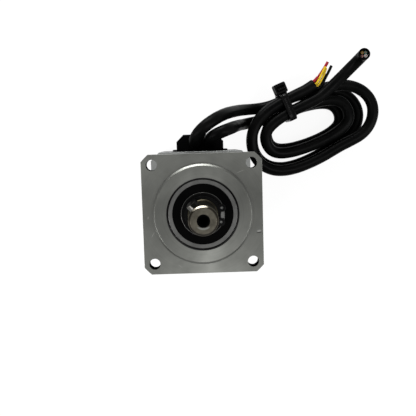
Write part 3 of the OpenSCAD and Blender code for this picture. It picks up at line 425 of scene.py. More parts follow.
# Machined metal: rings or a straight grain, cloudy patches, fine grit and a broken edge
machined = {"edge": 0.00025, "lines": 0.05, "relief": 0.35, "depth": 0.00002}


def machinedMetal(name, color, roughness, grain="rings", grit=0.35, patch=0.12):
    mat, tree, shader = newMaterial(name, color, 1.0, roughness)
    at = place(tree)
    if grain == "rings":
        marks = noise(tree, turnedRings(tree, at), 9000, 2.0, 0.6)
    elif grain == "along":
        marks = noise(tree, stretched(tree, at, (6000, 6000, 60)), 1.0, 2.0, 0.6)
    else:
        marks = noise(tree, stretched(tree, at, (60, 6000, 6000)), 1.0, 2.0, 0.6)
    cloud = noise(tree, at, 90, 4.0, 0.6)
    fine = noise(tree, at, 2600, 2.0, 0.5)
    tone = spread(tree, cloud, -patch, patch, 0.25, 0.75)
    tone = plus(tree, tone, spread(tree, marks, -machined["lines"], machined["lines"]))
    dark = tuple(c * 0.8 for c in color)
    pale = tuple(min(1, c * 1.2) for c in color)
    tree.links.new(mixColors(tree, plus(tree, 0.5, tone), dark, pale), shader.inputs["Base Color"])
    rough = plus(tree, spread(tree, cloud, roughness - 0.05, roughness + 0.06, 0.3, 0.7),
                 spread(tree, fine, -0.04, 0.04))
    tree.links.new(rough, shader.inputs["Roughness"])
    height = plus(tree, marks, times(tree, fine, grit))
    bump(tree, shader, height, machined["relief"], machined["depth"], roundEdges(tree, machined["edge"]))
    return mat


# Moulded or extruded plastic and rubber: a soft orange peel and slight dulling where it is handled
def mouldedPlastic(name, color, roughness, peel=900.0, edge=0.0003, specular=0.5):
    mat, tree, shader = newMaterial(name, color, 0.0, roughness)
    at = place(tree)
    shader.inputs["Specular IOR Level"].default_value = specular
    peelNoise = noise(tree, at, peel, 3.0, 0.55)
    cloud = noise(tree, at, 70, 3.0, 0.6)
    dark = tuple(c * 0.75 for c in color)
    pale = tuple(min(1, c * 1.3) for c in color)
    tone = spread(tree, cloud, 0.2, 0.8, 0.3, 0.7)
    tree.links.new(mixColors(tree, tone, dark, pale), shader.inputs["Base Color"])
    dull = spread(tree, cloud, roughness - 0.05, roughness + 0.07, 0.3, 0.7)
    tree.links.new(dull, shader.inputs["Roughness"])
    bump(tree, shader, peelNoise, 0.4, 0.00002, roundEdges(tree, edge))
    return mat


# Copper windings: strands side by side under varnish
def woundCopper(name, color):
    mat, tree, shader = newMaterial(name, color, 0.9, 0.35)
    at = place(tree)
    strands = addNode(tree, "ShaderNodeTexWave", wave_type="RINGS", rings_direction="Z")
    strands.inputs["Scale"].default_value = 900
    strands.inputs["Distortion"].default_value = 2
    strands.inputs["Detail"].default_value = 1
    tree.links.new(at, strands.inputs["Vector"])
    tree.links.new(mixColors(tree, strands.outputs["Fac"], tuple(c * 0.5 for c in color), color),
                   shader.inputs["Base Color"])
    shader.inputs["Coat Weight"].default_value = 0.5
    bump(tree, shader, strands.outputs["Fac"], 0.6, 0.0001)
    return mat


# Laminations: thin sheets stacked along the axis
def stackedSheets(name, color):
    mat, tree, shader = newMaterial(name, color, 0.8, 0.45)
    height = parts(tree, place(tree))[2]
    sheet = sums(tree, "PINGPONG", times(tree, height, 2000), 0.5)
    tree.links.new(mixColors(tree, times(tree, sheet, 2), tuple(c * 0.6 for c in color), color),
                   shader.inputs["Base Color"])
    bump(tree, shader, sheet, 0.5, 0.0001)
    return mat


# Circuit board: solder mask over faint tracks
def circuitBoard(name, color):
    mat, tree, shader = newMaterial(name, color, 0.0, 0.3)
    cells = addNode(tree, "ShaderNodeTexVoronoi", distance="MANHATTAN", feature="DISTANCE_TO_EDGE")
    cells.inputs["Scale"].default_value = 260
    tree.links.new(place(tree), cells.inputs["Vector"])
    track = spread(tree, cells.outputs["Distance"], 1.0, 0.0, 0.0, 0.06)
    tree.links.new(mixColors(tree, track, color, tuple(min(1, c * 2.2 + 0.01) for c in color)),
                   shader.inputs["Base Color"])
    bump(tree, shader, track, 0.5, 0.00003)
    return mat


# The flange's face: turned rings, painted shade towards the outlet's side and painted light towards the
# other, painted shade round the bearing, at the pilot's foot and in the holes, a few marks from use, and a
# painted shade strip by the nick
flange = {
    "dark": (0.088, 0.090, 0.083), "pale": (0.108, 0.110, 0.102),   # in the grooves and on the ridges
    "top": 0.82, "bottom": 1.14,          # painted light and shade: the base colour's factor on the outlet's side and on the other
    "roughness": 0.34, "anisotropy": 0.55,
    "holePitch": 0.02475, "holeRadius": 0.00279,
    "mouth": (0.01725, 0.01808), "foot": (0.02485, 0.02512),    # rings of painted shade in the gap round the bearing and at the pilot's foot
    # the three colours below are painted shade: in the bearing's gap, at the pilot's foot and on the holes'
    # walls
    "paintedGapShade": (0.012, 0.012, 0.012), "paintedFootShade": (0.03, 0.03, 0.03), "paintedHoleShade": (0.002, 0.002, 0.002),
    "marks": [
        # x, y, angle, length, width
        (-0.0252, -0.0099, 60, 0.0024, 0.00022),
        (-0.0273, -0.0013, 80, 0.0012, 0.0003),
        (0.0191, 0.0205, 20, 0.0030, 0.00012),
        (-0.012, -0.0262, -35, 0.0020, 0.00015),
    ],
    "markColor": (0.19, 0.19, 0.18),
    "nick": (0.0279, -0.0096, 8, 0.0018, 0.0010), "nickColor": (0.22, 0.22, 0.21),
    "nickShade": (0.0279, -0.0102, 8, 0.0022, 0.0004), "nickShadeColor": (0.01, 0.01, 0.01),
}


def flangeMetal():
    mat, tree, shader = newMaterial("turnedFlange", flange["pale"], 1.0, flange["roughness"])
    at = place(tree)
    px, py, pz = parts(tree, at)
    rings = noise(tree, turnedRings(tree, at), 7000, 3.0, 0.65)
    wide = noise(tree, turnedRings(tree, at), 900, 2.0, 0.5)
    cloud = noise(tree, at, 70, 4.0, 0.6)
    fine = noise(tree, at, 3000, 2.0, 0.5)
    shade = plus(tree, 0.5, spread(tree, cloud, -0.30, 0.30, 0.3, 0.7))
    shade = plus(tree, shade, spread(tree, rings, -0.35, 0.35, 0.25, 0.75))
    shade = plus(tree, shade, spread(tree, wide, -0.2, 0.2, 0.3, 0.7))
    metal = mixColors(tree, shade, flange["dark"], flange["pale"])
    # painted light and shade: the face is darker towards the outlet's side and brighter towards the other,
    # for how light falls on it
    paintedLightSlope = spread(tree, py, flange["bottom"], flange["top"], -0.012, 0.006)
    metal = mixColors(tree, 1.0, metal, joined(tree, paintedLightSlope, paintedLightSlope, paintedLightSlope), "MULTIPLY")
    tree.links.new(metal, shader.inputs["Base Color"])
    for mark in flange["marks"]:
        tint(tree, shader, scratch(tree, at, *mark), flange["markColor"])
    tint(tree, shader, scratch(tree, at, *flange["nick"]), flange["nickColor"])
    tint(tree, shader, scratch(tree, at, *flange["nickShade"]), flange["nickShadeColor"])
    away = axisDistance(tree, at)
    # painted shade: a black ring in the gap round the bearing
    mouth = band(tree, away, *flange["mouth"], 0.00006)
    mouth = times(tree, mouth, spread(tree, pz, 0.0, 1.0, 0.0015, 0.0017))
    tint(tree, shader, mouth, flange["paintedGapShade"])
    # painted shade in the corner where the pilot meets the face
    foot = band(tree, away, *flange["foot"], 0.00008)
    foot = times(tree, foot, spread(tree, pz, 1.0, 0.0, 0.0002, 0.0009))
    tint(tree, shader, times(tree, foot, 0.7), flange["paintedFootShade"])
    # painted shade: the walls of the four bolt holes are painted black
    corner = joined(tree, sums(tree, "ABSOLUTE", px), sums(tree, "ABSOLUTE", py))
    hole = spread(tree, axisDistance(tree, corner, flange["holePitch"], flange["holePitch"]), 1.0, 0.0,
                  flange["holeRadius"] - 0.00001, flange["holeRadius"] + 0.00001)
    tint(tree, shader, hole, flange["paintedHoleShade"])
    # the painted shade in the holes and round the bearing is made non-metallic too, so it stays black
    dull = sums(tree, "MAXIMUM", hole, mouth)
    tree.links.new(minus(tree, 1.0, dull), shader.inputs["Metallic"])
    shader.inputs["Specular IOR Level"].default_value = 0.0
    rough = spread(tree, cloud, flange["roughness"] - 0.05, flange["roughness"] + 0.05, 0.3, 0.7)
    rough = plus(tree, rough, spread(tree, fine, -0.03, 0.03))
    tree.links.new(rough, shader.inputs["Roughness"])
    shader.inputs["Anisotropic"].default_value = flange["anisotropy"]
    turn = addNode(tree, "ShaderNodeTangent", direction_type="RADIAL", axis="Z")
    tree.links.new(turn.outputs["Tangent"], shader.inputs["Tangent"])
    height = plus(tree, rings, times(tree, fine, 0.3))
    bump(tree, shader, height, 0.25, 0.00002, roundEdges(tree, 0.00025))
    return mat


# The output shaft: brownish turned steel, with painted shade on its side, on the end's rim and in the centre
# hole, and painted highlights on the end's chamfer, on the hole's lower lip and round the shaft just below
# its end
shaft = {
    # side and rim are darker copies of the face's steel, as painted shade
    "face": (0.053, 0.049, 0.039), "side": (0.020, 0.018, 0.012), "rim": (0.014, 0.012, 0.009),
    "paintedChamferGlint": (0.20, 0.185, 0.15), "glintY": 0.0047, "glintX": 0.0021,     # stretch of the painted highlight on the end's chamfer
    "bore": 0.00315, "flat": 0.0060, "end": 0.030,
    "gleam": (0.0031, 0.0040), "gleamColor": (0.125, 0.125, 0.115),     # painted highlight on the hole's lower lip
    # edgeColor is a painted highlight round the shaft just below its end, and the last colour is the centre
    # hole's painted shade
    "edge": (0.00688, 0.0071), "edgeColor": (0.10, 0.092, 0.07), "paintedBlack": (0.0008, 0.0008, 0.0008),
}


def shaftSteel():
    mat, tree, shader = newMaterial("turnedShaft", shaft["side"], 1.0, 0.34)
    at = place(tree)
    px, py, pz = parts(tree, at)
    rings = noise(tree, turnedRings(tree, at), 6000, 3.0, 0.65)
    cloud = noise(tree, at, 260, 4.0, 0.6)
    fine = noise(tree, at, 3500, 2.0, 0.5)
    tone = spread(tree, cloud, -0.4, 0.4, 0.3, 0.7)
    tone = plus(tree, tone, spread(tree, rings, -0.3, 0.3, 0.3, 0.7))
    tone = plus(tree, 0.5, tone)
    away = axisDistance(tree, at)
    end = spread(tree, pz, 0.0, 1.0, shaft["end"] - 0.0011, shaft["end"] - 0.0010)
    flat = spread(tree, away, 1.0, 0.0, shaft["flat"] - 0.0001, shaft["flat"] + 0.0001)
    flat = times(tree, end, flat)
    # painted shade: the side and the end's rim take darker copies of the steel
    face, side, rim = (mixColors(tree, tone, *shades(shaft[name], 0.65, 1.4))
                       for name in ("face", "side", "rim"))
    tree.links.new(mixColors(tree, flat, mixColors(tree, end, side, rim), face), shader.inputs["Base Color"])
    # painted highlight on the lower side of the centre hole's lip
    gleam = band(tree, away, *shaft["gleam"], 0.00015)
    gleam = times(tree, gleam, spread(tree, py, 1.0, 0.0, -0.0031, -0.0023))
    tint(tree, shader, times(tree, gleam, end), shaft["gleamColor"])
    # painted highlight on the end's chamfer, towards +y and left of the axis
    paintedChamferGlint = spread(tree, py, 0.0, 1.0, shaft["glintY"] - 0.0003, shaft["glintY"] + 0.0003)
    paintedChamferGlint = times(tree, paintedChamferGlint, spread(tree, px, 1.0, 0.0, shaft["glintX"] - 0.0003, shaft["glintX"] + 0.0003))
    paintedChamferGlint = times(tree, paintedChamferGlint, times(tree, end, spread(tree, away, 0.0, 1.0, 0.0062, 0.0064)))
    tint(tree, shader, paintedChamferGlint, shaft["paintedChamferGlint"])
    # painted highlight: a thin bright ring round the shaft just below its end
    edge = band(tree, away, *shaft["edge"], 0.00004)
    edge = times(tree, edge, spread(tree, pz, 0.0, 1.0, 0.0283, 0.0287))
    tint(tree, shader, times(tree, edge, 0.7), shaft["edgeColor"])
    # painted shade: the centre hole is painted black and made non-metallic
    bore = spread(tree, away, 1.0, 0.0, shaft["bore"] - 0.0002, shaft["bore"] + 0.0001)
    tint(tree, shader, bore, shaft["paintedBlack"])
    tree.links.new(minus(tree, 1.0, bore), shader.inputs["Metallic"])
    shader.inputs["Specular IOR Level"].default_value = 0.0
    rough = plus(tree, spread(tree, cloud, 0.30, 0.42, 0.3, 0.7), spread(tree, fine, -0.04, 0.04))
    tree.links.new(rough, shader.inputs["Roughness"])
    bump(tree, shader, plus(tree, rings, times(tree, fine, 0.4)), 0.4, 0.00002,
         roundEdges(tree, 0.0002))
    return mat


# The key: painted light on its side away from the outlet's corner, and painted shade on the other side
key = {"angle": 128.0, "bright": (0.085, 0.082, 0.075), "dark": (0.006, 0.006, 0.005)}


def keySteel():
    mat, tree, shader = newMaterial("groundKey", key["bright"], 1.0, 0.3)
    at = place(tree)
    px, py, _ = parts(tree, at)
    grain = noise(tree, stretched(tree, at, (6000, 6000, 60)), 1.0, 2.0, 0.6)
    cloud = noise(tree, at, 420, 3.0, 0.6)
    c, s = math.cos(math.radians(key["angle"])), math.sin(math.radians(key["angle"]))
    across = minus(tree, times(tree, py, c), times(tree, px, s))
    across = plus(tree, across, spread(tree, cloud, -0.0004, 0.0004, 0.3, 0.7))
    # painted light and shade: the key's lit side and its shaded side
    litSide = spread(tree, across, 0.0, 1.0, 0.0002, 0.0006)
    pale = mixColors(tree, grain, *shades(key["bright"], 0.7, 1.3))
    tree.links.new(mixColors(tree, litSide, key["dark"], pale), shader.inputs["Base Color"])
    tree.links.new(spread(tree, cloud, 0.25, 0.4), shader.inputs["Roughness"])
    bump(tree, shader, grain, 0.3, 0.00002, roundEdges(tree, 0.0003))
    return mat


# Bearing rings: ground grey, with painted shade on the outer ring's outer edge. The inner ring's face is
# painted black as a painted dark reflection, with painted highlights on its lip and on the spots that show
# through the circlip's lugs and between them.
bearing = {
    # the last colour paints the inner ring's face black, as a painted dark reflection
    "dark": (0.050, 0.050, 0.048), "pale": (0.105, 0.105, 0.102), "paintedBlack": (0.0035, 0.0035, 0.0035),
    # painted shade on the outer ring's outer edge, and painted highlights on the inner ring's lip and its
    # spots
    "edgeColor": (0.004, 0.004, 0.004), "lipGlintColor": (0.052, 0.052, 0.050), "glintSpotColor": (0.115, 0.115, 0.112),
    "outerEdge": 0.0172, "inner": 0.0109, "lip": (0.01062, 0.01085),
    "spots": ((0.00946, 0.00289), (0.00897, -0.00418)), "spotRadius": 0.0009,
    "barX": (0.0089, 0.0104), "barY": (-0.0022, 0.0010),
}


def bearingSteel():
    mat, tree, shader = newMaterial("bearingSteel", bearing["pale"], 1.0, 0.32)
    at = place(tree)
    px, py, pz = parts(tree, at)
    rings = noise(tree, turnedRings(tree, at), 8000, 2.0, 0.6)
    cloud = noise(tree, at, 150, 4.0, 0.6)
    fine = noise(tree, at, 3000, 2.0, 0.5)
    tone = plus(tree, 0.5, plus(tree, spread(tree, cloud, -0.3, 0.3, 0.3, 0.7),
                                       spread(tree, rings, -0.25, 0.25, 0.3, 0.7)))
    tree.links.new(mixColors(tree, tone, bearing["dark"], bearing["pale"]), shader.inputs["Base Color"])
    away = axisDistance(tree, at)
    # painted shade: the outer ring's outer edge is painted black, for the dark gap round the bearing
    edge = spread(tree, away, 0.0, 1.0, bearing["outerEdge"] - 0.00002, bearing["outerEdge"] + 0.00004)
    tint(tree, shader, edge, bearing["edgeColor"])
    # painted dark reflection: the inner ring's face is painted black
    front = spread(tree, pz, 0.0, 1.0, 0.0010, 0.0014)
    inner = spread(tree, away, 1.0, 0.0, bearing["inner"] - 0.00005, bearing["inner"])
    inner = times(tree, inner, front)
    tint(tree, shader, inner, bearing["paintedBlack"])
    # painted highlight round the inner ring's lip
    lip = times(tree, band(tree, away, *bearing["lip"], 0.00004), front)
    tint(tree, shader, lip, bearing["lipGlintColor"])
    # painted highlights on the inner ring where it shows through the circlip's lugs and between them
    patch = band(tree, px, *bearing["barX"], 0.0001)
    patch = times(tree, patch, band(tree, py, *bearing["barY"], 0.0001))
    for x, y in bearing["spots"]:
        reach = axisDistance(tree, at, x, y)
        spot = spread(tree, reach, 1.0, 0.0, bearing["spotRadius"] - 0.0001, bearing["spotRadius"])
        patch = sums(tree, "MAXIMUM", patch, spot)
    tint(tree, shader, times(tree, patch, inner), bearing["glintSpotColor"])
    tree.links.new(spread(tree, fine, 0.27, 0.38), shader.inputs["Roughness"])
    bump(tree, shader, plus(tree, rings, times(tree, fine, 0.3)), 0.3, 0.00002,
         roundEdges(tree, 0.0002))
    return mat


# Black cable sheath: a fine peel all over, dusty in patches, with a few pale specks
sheath = {
    "plain": (0.0008, 0.0009, 0.0009), "dark": (0.0006, 0.0007, 0.0007),
    "dusty": (0.0022, 0.0022, 0.0021), "speck": (0.012, 0.012, 0.0115),
}


def cableSheath():
    mat, tree, shader = newMaterial("cableSheath", sheath["plain"], 0.0, 0.34)
    shader.inputs["Specular IOR Level"].default_value = 0.02
    at = place(tree)
    peelNoise = noise(tree, at, 1100, 4.0, 0.6)
    dust = noise(tree, at, 60, 5.0, 0.7)
    specks = noise(tree, at, 5200, 1.0, 0.4)
    tone = mixColors(tree, spread(tree, dust, 0.0, 1.0, 0.42, 0.78), sheath["dark"], sheath["dusty"])
    tone = mixColors(tree, spread(tree, specks, 0.0, 0.4, 0.66, 0.8), tone, sheath["speck"])
    tree.links.new(tone, shader.inputs["Base Color"])
    tree.links.new(spread(tree, dust, 0.29, 0.46, 0.3, 0.7), shader.inputs["Roughness"])
    bump(tree, shader, peelNoise, 0.35, 0.00003)
    return mat


finishes = {
    "flange_metal": flangeMetal(),
    "case_metal": machinedMetal("machinedCase", (0.50, 0.51, 0.51), 0.38, "rings"),
    "bracket_metal": machinedMetal("bracketCasting", (0.15, 0.154, 0.15), 0.45, "straight", grit=0.8),
    "shaft_steel": shaftSteel(),
    "key_steel": keySteel(),
    "bearing_steel": bearingSteel(),
    "ball_steel": machinedMetal("bearingBalls", (0.75, 0.75, 0.76), 0.08, "rings", grit=0.05, patch=0.03),
    "gear_steel": machinedMetal("gearSteel", (0.20, 0.20, 0.205), 0.35, "along"),
    "black_steel": mouldedPlastic("blackOxide", (0.0015, 0.0015, 0.0015), 0.35, peel=2600.0, edge=0.0002,
                                  specular=0.04),
    "zinc_steel": machinedMetal("zincPlate", (0.60, 0.60, 0.62), 0.30, "rings"),
    "magnet": machinedMetal("nickelMagnet", (0.50, 0.50, 0.52), 0.2, "along"),
    "code_disc": machinedMetal("codeDisc", (0.50, 0.50, 0.52), 0.15, "rings", grit=0.1),
    "seal_rubber": mouldedPlastic("sealRubber", (0.0006, 0.0006, 0.0006), 0.5, edge=0.0002, specular=0.01),
    "brown_rubber": mouldedPlastic("brownRubber", (0.16, 0.06, 0.03), 0.5),
    "painted_black": mouldedPlastic("satinPaint", (0.008, 0.008, 0.009), 0.38, peel=1500.0, edge=0.0004,
                                    specular=0.3),
    "black_plastic": mouldedPlastic("outletPlastic", (0.0007, 0.0007, 0.0008), 0.4, peel=2200.0, edge=0.0004,
                                    specular=0.02),
    "cable_sheath": cableSheath(),
    "tie_plastic": mouldedPlastic("tieNylon", (0.0012, 0.0012, 0.0012), 0.26, edge=0.0002, specular=0.05),
    # the yellow core's colour is darkened to about a third, as painted shade for the sheath's mouth
    "core_insulation": mouldedPlastic("coreYellow", (0.10, 0.065, 0.012), 0.4, specular=0.1),
    "yellow_wire": mouldedPlastic("yellowWire", (0.36, 0.24, 0.006), 0.4, peel=1800.0, specular=0.1),
    "red_wire": mouldedPlastic("redWire", (0.16, 0.003, 0.009), 0.4, peel=1800.0, specular=0.1),
    "black_wire": mouldedPlastic("blackWire", (0.0012, 0.0012, 0.0012), 0.35, specular=0.03),
    "copper_wire": woundCopper("windingCopper", (0.72, 0.36, 0.16)),
    "lamination": stackedSheets("statorSheets", (0.25, 0.25, 0.27)),
    "board": circuitBoard("encoderBoard", (0.02, 0.16, 0.06)),
}


def dressNodes():
    for part in frame["record"]["subparts"]:
        obj = nodes[part["node"]]
        obj.data.materials.clear()
        obj.data.materials.append(finishes[part["material_slot"]])


dressNodes()
print("materials on all nodes")


def dress(obj, slot, body="housing", replaced=(), others=()):
    for mat in (finishes[slot], *others):
        obj.data.materials.append(mat)
    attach(obj, body)
    if replaced:
        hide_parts(*replaced)
    return obj


def addCables():
    made = {}
    specs = {
        "power": (0, cables["powerX"], cables["powerLead"], cables["powerTail"]),
        "encoder": (1, cables["encoderX"], cables["encoderLead"], cables["encoderTail"]),
    }
    for kind, (outer, x, lead, tail) in specs.items():
        path = smoothPath(cableRoute(outer, x, lead, tail), 1.3 * mm)
        r = cables["diameter"] / 2
        radii = [r * (1 - 0.004 * (1 + math.sin(i * 0.9))) for i in range(len(path))]
        bm = bmesh.new()
        addTube(bm, path, radii, 32, mouth=(r * 0.79, 1.6 * mm))
        obj = finishMesh(kind + "Cable", bm)
        dress(obj, "cable_sheath", replaced=[f"{kind}_cable_{part}" for part in ("lead", "coil", "tail")])
        made[kind] = (obj, path)
        print(kind, "cable:", round(pathLength(path), 3), "m")
    return made


madeCables = addCables()

# The power cable's cut end: four insulated cores round a filler
powerEnd = {
    "coreRadius": 0.95 * mm, "ring": 1.55 * mm, "copperRadius": 0.5 * mm,
    # painted shade: these colours are darkened to about a third, for the shade in the sheath's mouth
    "colors": [(0.10, 0.065, 0.012), (0.075, 0.026, 0.028), (0.20, 0.20, 0.19), (0.008, 0.045, 0.033)],
    "firstAngle": 135.0,     # of the yellow core, seen from the end
    "sunk": (0.8 * mm, 1.1 * mm, 0.5 * mm, 0.7 * mm),
}


def endFrame(path):
    way = unit(path[-1] - path[-2])
    right = unit(np.cross([0.0, 1.0, 0.0], way))
    return path[-1], way, right, np.cross(way, right)


def addPowerEnd():
    end, way, right, up = endFrame(madeCables["power"][1])
    bm = bmesh.new()
    for i in range(4):
        angle = math.radians(powerEnd["firstAngle"] + 90 * i)
        centre = end + powerEnd["ring"] * (math.cos(angle) * right + math.sin(angle) * up)
        stop = powerEnd["sunk"][i]
        path = np.array([centre - way * s for s in (0.0026, 0.0021, stop + 0.0004, stop + 0.0001, stop)])
        r = powerEnd["coreRadius"]
        addTube(bm, path, [r, r, r, r, r * 0.93], 20, material=i)
        wire = np.array([centre - way * s for s in (0.0018, stop + 0.0002, stop - 0.0002, stop - 0.00025)])
        k = powerEnd["copperRadius"]
        addTube(bm, wire, [k, k, k, k * 0.8], 14, material=4)
    obj = finishMesh("powerCores", bm)
    others = [mouldedPlastic(f"coreInsulation{i}", color, 0.4, peel=2500.0)
              for i, color in enumerate(powerEnd["colors"][1:], 2)]
    copper = machinedMetal("coreCopper", (0.11, 0.06, 0.04), 0.4, "along", grit=1.0)
    dress(obj, "core_insulation", replaced=["power_cable_cores"], others=[*others, copper])
    return obj


# The encoder cable's bared end. Each wire is a list of points in mm from the middle of the sheath's end:
# to the right, to the top of the picture, and up.
encoderEnd = {
    "wireRadius": {"yellow": 0.72 * mm, "red": 0.95 * mm, "black": 0.95 * mm},
    "yellow": [[(-1.0, 0.2, 1.0), (0.6, 0.2, 1.1), (3.1, 3.2, 1.3), (5.3, 7.4, 1.6), (7.4, 11.4, 1.8)],
               [(0.2, -1.0, 0.6), (1.7, -0.9, 0.7), (4.4, 2.3, 0.9), (6.6, 6.6, 1.1), (8.1, 10.6, 0.9)]],
    "red": [[(-1.2, 1.3, -0.5), (0.3, 1.5, -0.6), (2.6, 4.2, -0.6), (5.6, 8.6, -0.2), (7.7, 11.9, 0.3),
             (9.2, 14.6, 0.9)],
            [(-1.4, 1.9, 0.4), (-0.2, 2.3, 0.4), (1.3, 3.6, 0.5), (2.5, 5.0, 0.5)]],
    "black": [[(0.6, -2.4, -0.6), (3.4, -2.0, -0.9), (6.9, 2.7, -0.9), (9.9, 8.2, -0.6), (11.8, 12.2, -0.2)],
              [(0.3, -1.7, -1.9), (3.0, -1.6, -2.3), (6.3, 2.6, -2.4), (9.0, 6.8, -2.3)]],
}


def addEncoderWires():
    end, way = endFrame(madeCables["encoder"][1])[:2]
    pieces = []
    for color in ("yellow", "red", "black"):
        bm = bmesh.new()
        for points in encoderEnd[color]:
            spots = end + np.array(points) * mm
            inside = [spots[0] - way * 0.0026, spots[0] - way * 0.0008]
            path = smoothPath(np.vstack([*inside, spots[1:]]), 0.35 * mm)
            r = encoderEnd["wireRadius"][color]
            radii = [r] * len(path)
            radii[-1] = r * 0.8
            addTube(bm, path, radii, 16)
        obj = finishMesh(color + "Wires", bm)
        pieces.append(dress(obj, color + "_wire", replaced=["encoder_wires_" + color]))
    return pieces


# Cable tie: a toothed band round the bundle, its locking head and the short end that passes through it
tie = {
    "turn": 22.0456, "along": -4.2, "width": 5.0, "thick": 1.2,
    "low": (-4.8, -130.6), "high": (12.8, -105.0), "corner": 3.5,    # inside of the band, across and up
    "headSize": (8.0, 7.0, 7.0), "headPlace": (0.0, 16.6, -110.25), "headCorner": 1.0,
    "slot": (5.7, 2.9, 5.0), "tail": 2.4,
}


def tiePoint(x, y, z):
    c, s = math.cos(math.radians(tie["turn"])), math.sin(math.radians(tie["turn"]))
    x += tie["along"]
    left, back = cables["tie"]
    return Vector(((left + c * x - s * y) * mm, (back + s * x + c * y) * mm, z * mm))


def bandLoop():
    # the inner line of the band with its outward directions, in even steps
    (y0, z0), (y1, z1), r = tie["low"], tie["high"], tie["corner"]
    spots = []
    corners = ((y1 - r, z1 - r, 0), (y0 + r, z1 - r, 90), (y0 + r, z0 + r, 180), (y1 - r, z0 + r, 270))
    for i, (y, z, start) in enumerate(corners):
        for k in range(13):
            a = math.radians(start + 90 * k / 12)
            spots.append((y + r * math.cos(a), z + r * math.sin(a), math.cos(a), math.sin(a)))
        a = math.radians(start + 90)
        nextCorner = corners[(i + 1) % 4]
        fromSpot = (y + r * math.cos(a), z + r * math.sin(a))
        toSpot = (nextCorner[0] + r * math.cos(a), nextCorner[1] + r * math.sin(a))
        length = math.dist(fromSpot, toSpot)
        steps = max(2, int(length / 0.4))
        for k in range(1, steps):
            spots.append((fromSpot[0] + (toSpot[0] - fromSpot[0]) * k / steps,
                          fromSpot[1] + (toSpot[1] - fromSpot[1]) * k / steps, math.cos(a), math.sin(a)))
    return spots


def bandRow(bm, y, z, ny, nz, tooth):
    half, thick = tie["width"] / 2, tie["thick"]
    profile = ((-half, 0.15), (-half, thick - 0.3), (-half + 0.3, thick), (-half + 0.9, thick),
               (-half + 1.1, thick - 0.28 * tooth), (half - 1.1, thick - 0.28 * tooth), (half - 0.9, thick),
               (half - 0.3, thick), (half, thick - 0.3), (half, 0.15), (half - 0.2, 0.0), (-half + 0.2, 0.0))
    return [bm.verts.new(tiePoint(x, y + ny * out, z + nz * out)) for x, out in profile]


def roundedOutline(halfX, halfY, r):
    spots = []
    count = 6
    for cx, cy, start in ((1, 1, 0), (-1, 1, 90), (-1, -1, 180), (1, -1, 270)):
        for k in range(count + 1):
            a = math.radians(start + 90 * k / count)
            spots.append((cx * (halfX - r) + r * math.cos(a), cy * (halfY - r) + r * math.sin(a)))
    return spots


def addTie():
    bm = bmesh.new()
    rows = []
    for i, (y, z, ny, nz) in enumerate(bandLoop()):
        rows.append(bandRow(bm, y, z, ny, nz, 1.0 if i % 3 else 0.0))
    bridgeRings(bm, rows + rows[:1])
    hx, hy, hz = (s / 2 for s in tie["headSize"])
    cx, cy, cz = tie["headPlace"]
    sx, sy, deep = tie["slot"]
    layers = [(hx - 0.5, hy - 0.5, -hz), (hx, hy, -hz + 0.5), (hx + 0.5, hy, -hz + 0.7),
              (hx + 0.5, hy, -hz + 2.6), (hx, hy, -hz + 3.0), (hx, hy, hz - 0.35), (hx - 0.3, hy - 0.3, hz),
              (sx / 2 + 0.25, sy / 2 + 0.25, hz), (sx / 2, sy / 2, hz - 0.3),
              (sx / 2 - 0.2, sy / 2 - 0.2, hz - deep)]
    head = []
    for halfX, halfY, z in layers:
        r = min(tie["headCorner"], 0.45 * min(halfX, halfY))
        outline = roundedOutline(halfX, halfY, r)
        head.append([bm.verts.new(tiePoint(cx + x, cy + y, cz + z)) for x, y in outline])
    bridgeRings(bm, head, smooth=False)
    capRing(bm, list(reversed(head[0])))
    capRing(bm, head[-1])
    # the band's free end in the slot, cut off short
    half = tie["width"] / 2
    tail = []
    for k in range(13):
        z = cz + hz - deep + 0.2 + (deep + tie["tail"] - 0.2) * k / 12
        tooth = 0.25 if k % 2 else 0.0
        pull = half if k < 12 else half - 0.5
        profile = ((-pull, -0.5), (pull, -0.5), (pull, 0.35), (pull - 0.9, 0.45 - tooth),
                   (0.9 - pull, 0.45 - tooth), (-pull, 0.35))
        tail.append([bm.verts.new(tiePoint(cx + x, cy - 0.5 + y, z)) for x, y in profile])
    bridgeRings(bm, tail, smooth=False)
    capRing(bm, list(reversed(tail[0])))
    capRing(bm, tail[-1])
    obj = finishMesh("cableTie", bm)
    return dress(obj, "tie_plastic", replaced=["cable_tie"])


{"power": [addPowerEnd()], "encoder": addEncoderWires()}
addTie()
print("cables laid")

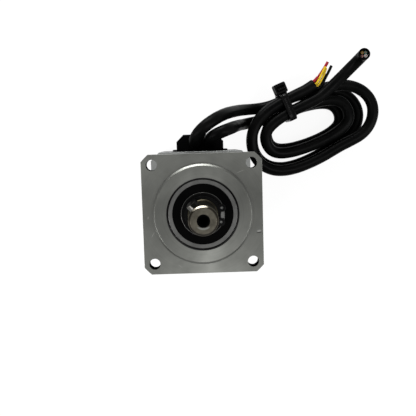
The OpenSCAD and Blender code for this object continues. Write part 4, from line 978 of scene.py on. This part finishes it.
# Floor, world and lamps
studio = {
    "floorColor": (0.86, 0.86, 0.86),
    "floorGlow": 0.92,       # share of plain white where it is seen, the rest takes the shadow
    "skyStrength": 0.5,
    "lamps": [
        # name, place, aim, size, watts
        ("lowLeftLamp", (-0.50, -0.30, 0.85), (0, 0, 0), (0.3, 0.3), 5.4),
        ("lowRightLamp", (0.56, -0.18, 0.85), (0, 0, 0), (0.3, 0.3), 5.2),
        ("rimLamp", (-0.14, 0.85, 0.10), (0, 0, 0), (0.6, 0.24), 12.0),
        ("leftLamp", (-0.88, -0.24, 0.42), (0, 0, 0), (0.3, 0.6), 5.0),
        ("rightLamp", (0.88, -0.24, 0.42), (0, 0, 0), (0.3, 0.6), 5.0),
    ],
}


def seenDirectly(tree):
    # 1 for what the camera sees, also as a reflection, and 0 for the light that falls on the object
    rays = addNode(tree, "ShaderNodeLightPath")
    other = sums(tree, "MAXIMUM", rays.outputs["Is Glossy Ray"], rays.outputs["Is Transmission Ray"])
    return sums(tree, "MAXIMUM", rays.outputs["Is Camera Ray"], other)


def addFloor():
    bm = bmesh.new()
    bmesh.ops.create_grid(bm, x_segments=8, y_segments=8, size=2.0)
    floor = finishMesh("studioFloor", bm)
    floor.location = (0, 0, cables["floor"] * mm)
    mat, tree, shader = newMaterial("studioFloor", studio["floorColor"], 0.0, 0.9)
    glow = addNode(tree, "ShaderNodeEmission")
    glow.inputs["Color"].default_value = (1, 1, 1, 1)
    glow.inputs["Strength"].default_value = 1.0
    mix = addNode(tree, "ShaderNodeMixShader")
    tree.links.new(times(tree, seenDirectly(tree), studio["floorGlow"]), mix.inputs[0])
    tree.links.new(shader.outputs[0], mix.inputs[1])
    tree.links.new(glow.outputs[0], mix.inputs[2])
    tree.links.new(mix.outputs[0], tree.nodes["Material Output"].inputs["Surface"])
    floor.data.materials.append(mat)


def addWorld():
    world = bpy.data.worlds.new("studio")
    bpy.context.scene.world = world
    world.use_nodes = True
    tree = world.node_tree
    sky = tree.nodes["Background"]
    sky.inputs["Color"].default_value = (1, 1, 1, 1)
    tree.links.new(spread(tree, seenDirectly(tree), studio["skyStrength"], 1.0), sky.inputs["Strength"])


def addLamps():
    for name, spot, aim, size, watts in studio["lamps"]:
        data = bpy.data.lights.new(name, "AREA")
        data.shape = "RECTANGLE"
        data.size, data.size_y = size
        data.energy = watts
        lamp = bpy.data.objects.new(name, data)
        bpy.context.collection.objects.link(lamp)
        lamp.matrix_world = aimMatrix(spot, Vector(aim) - Vector(spot), (0, 0.02, 1))


addFloor()
addWorld()
addLamps()
bpy.context.scene.view_settings.view_transform = "Standard"
print("floor, sky and lamps ready")
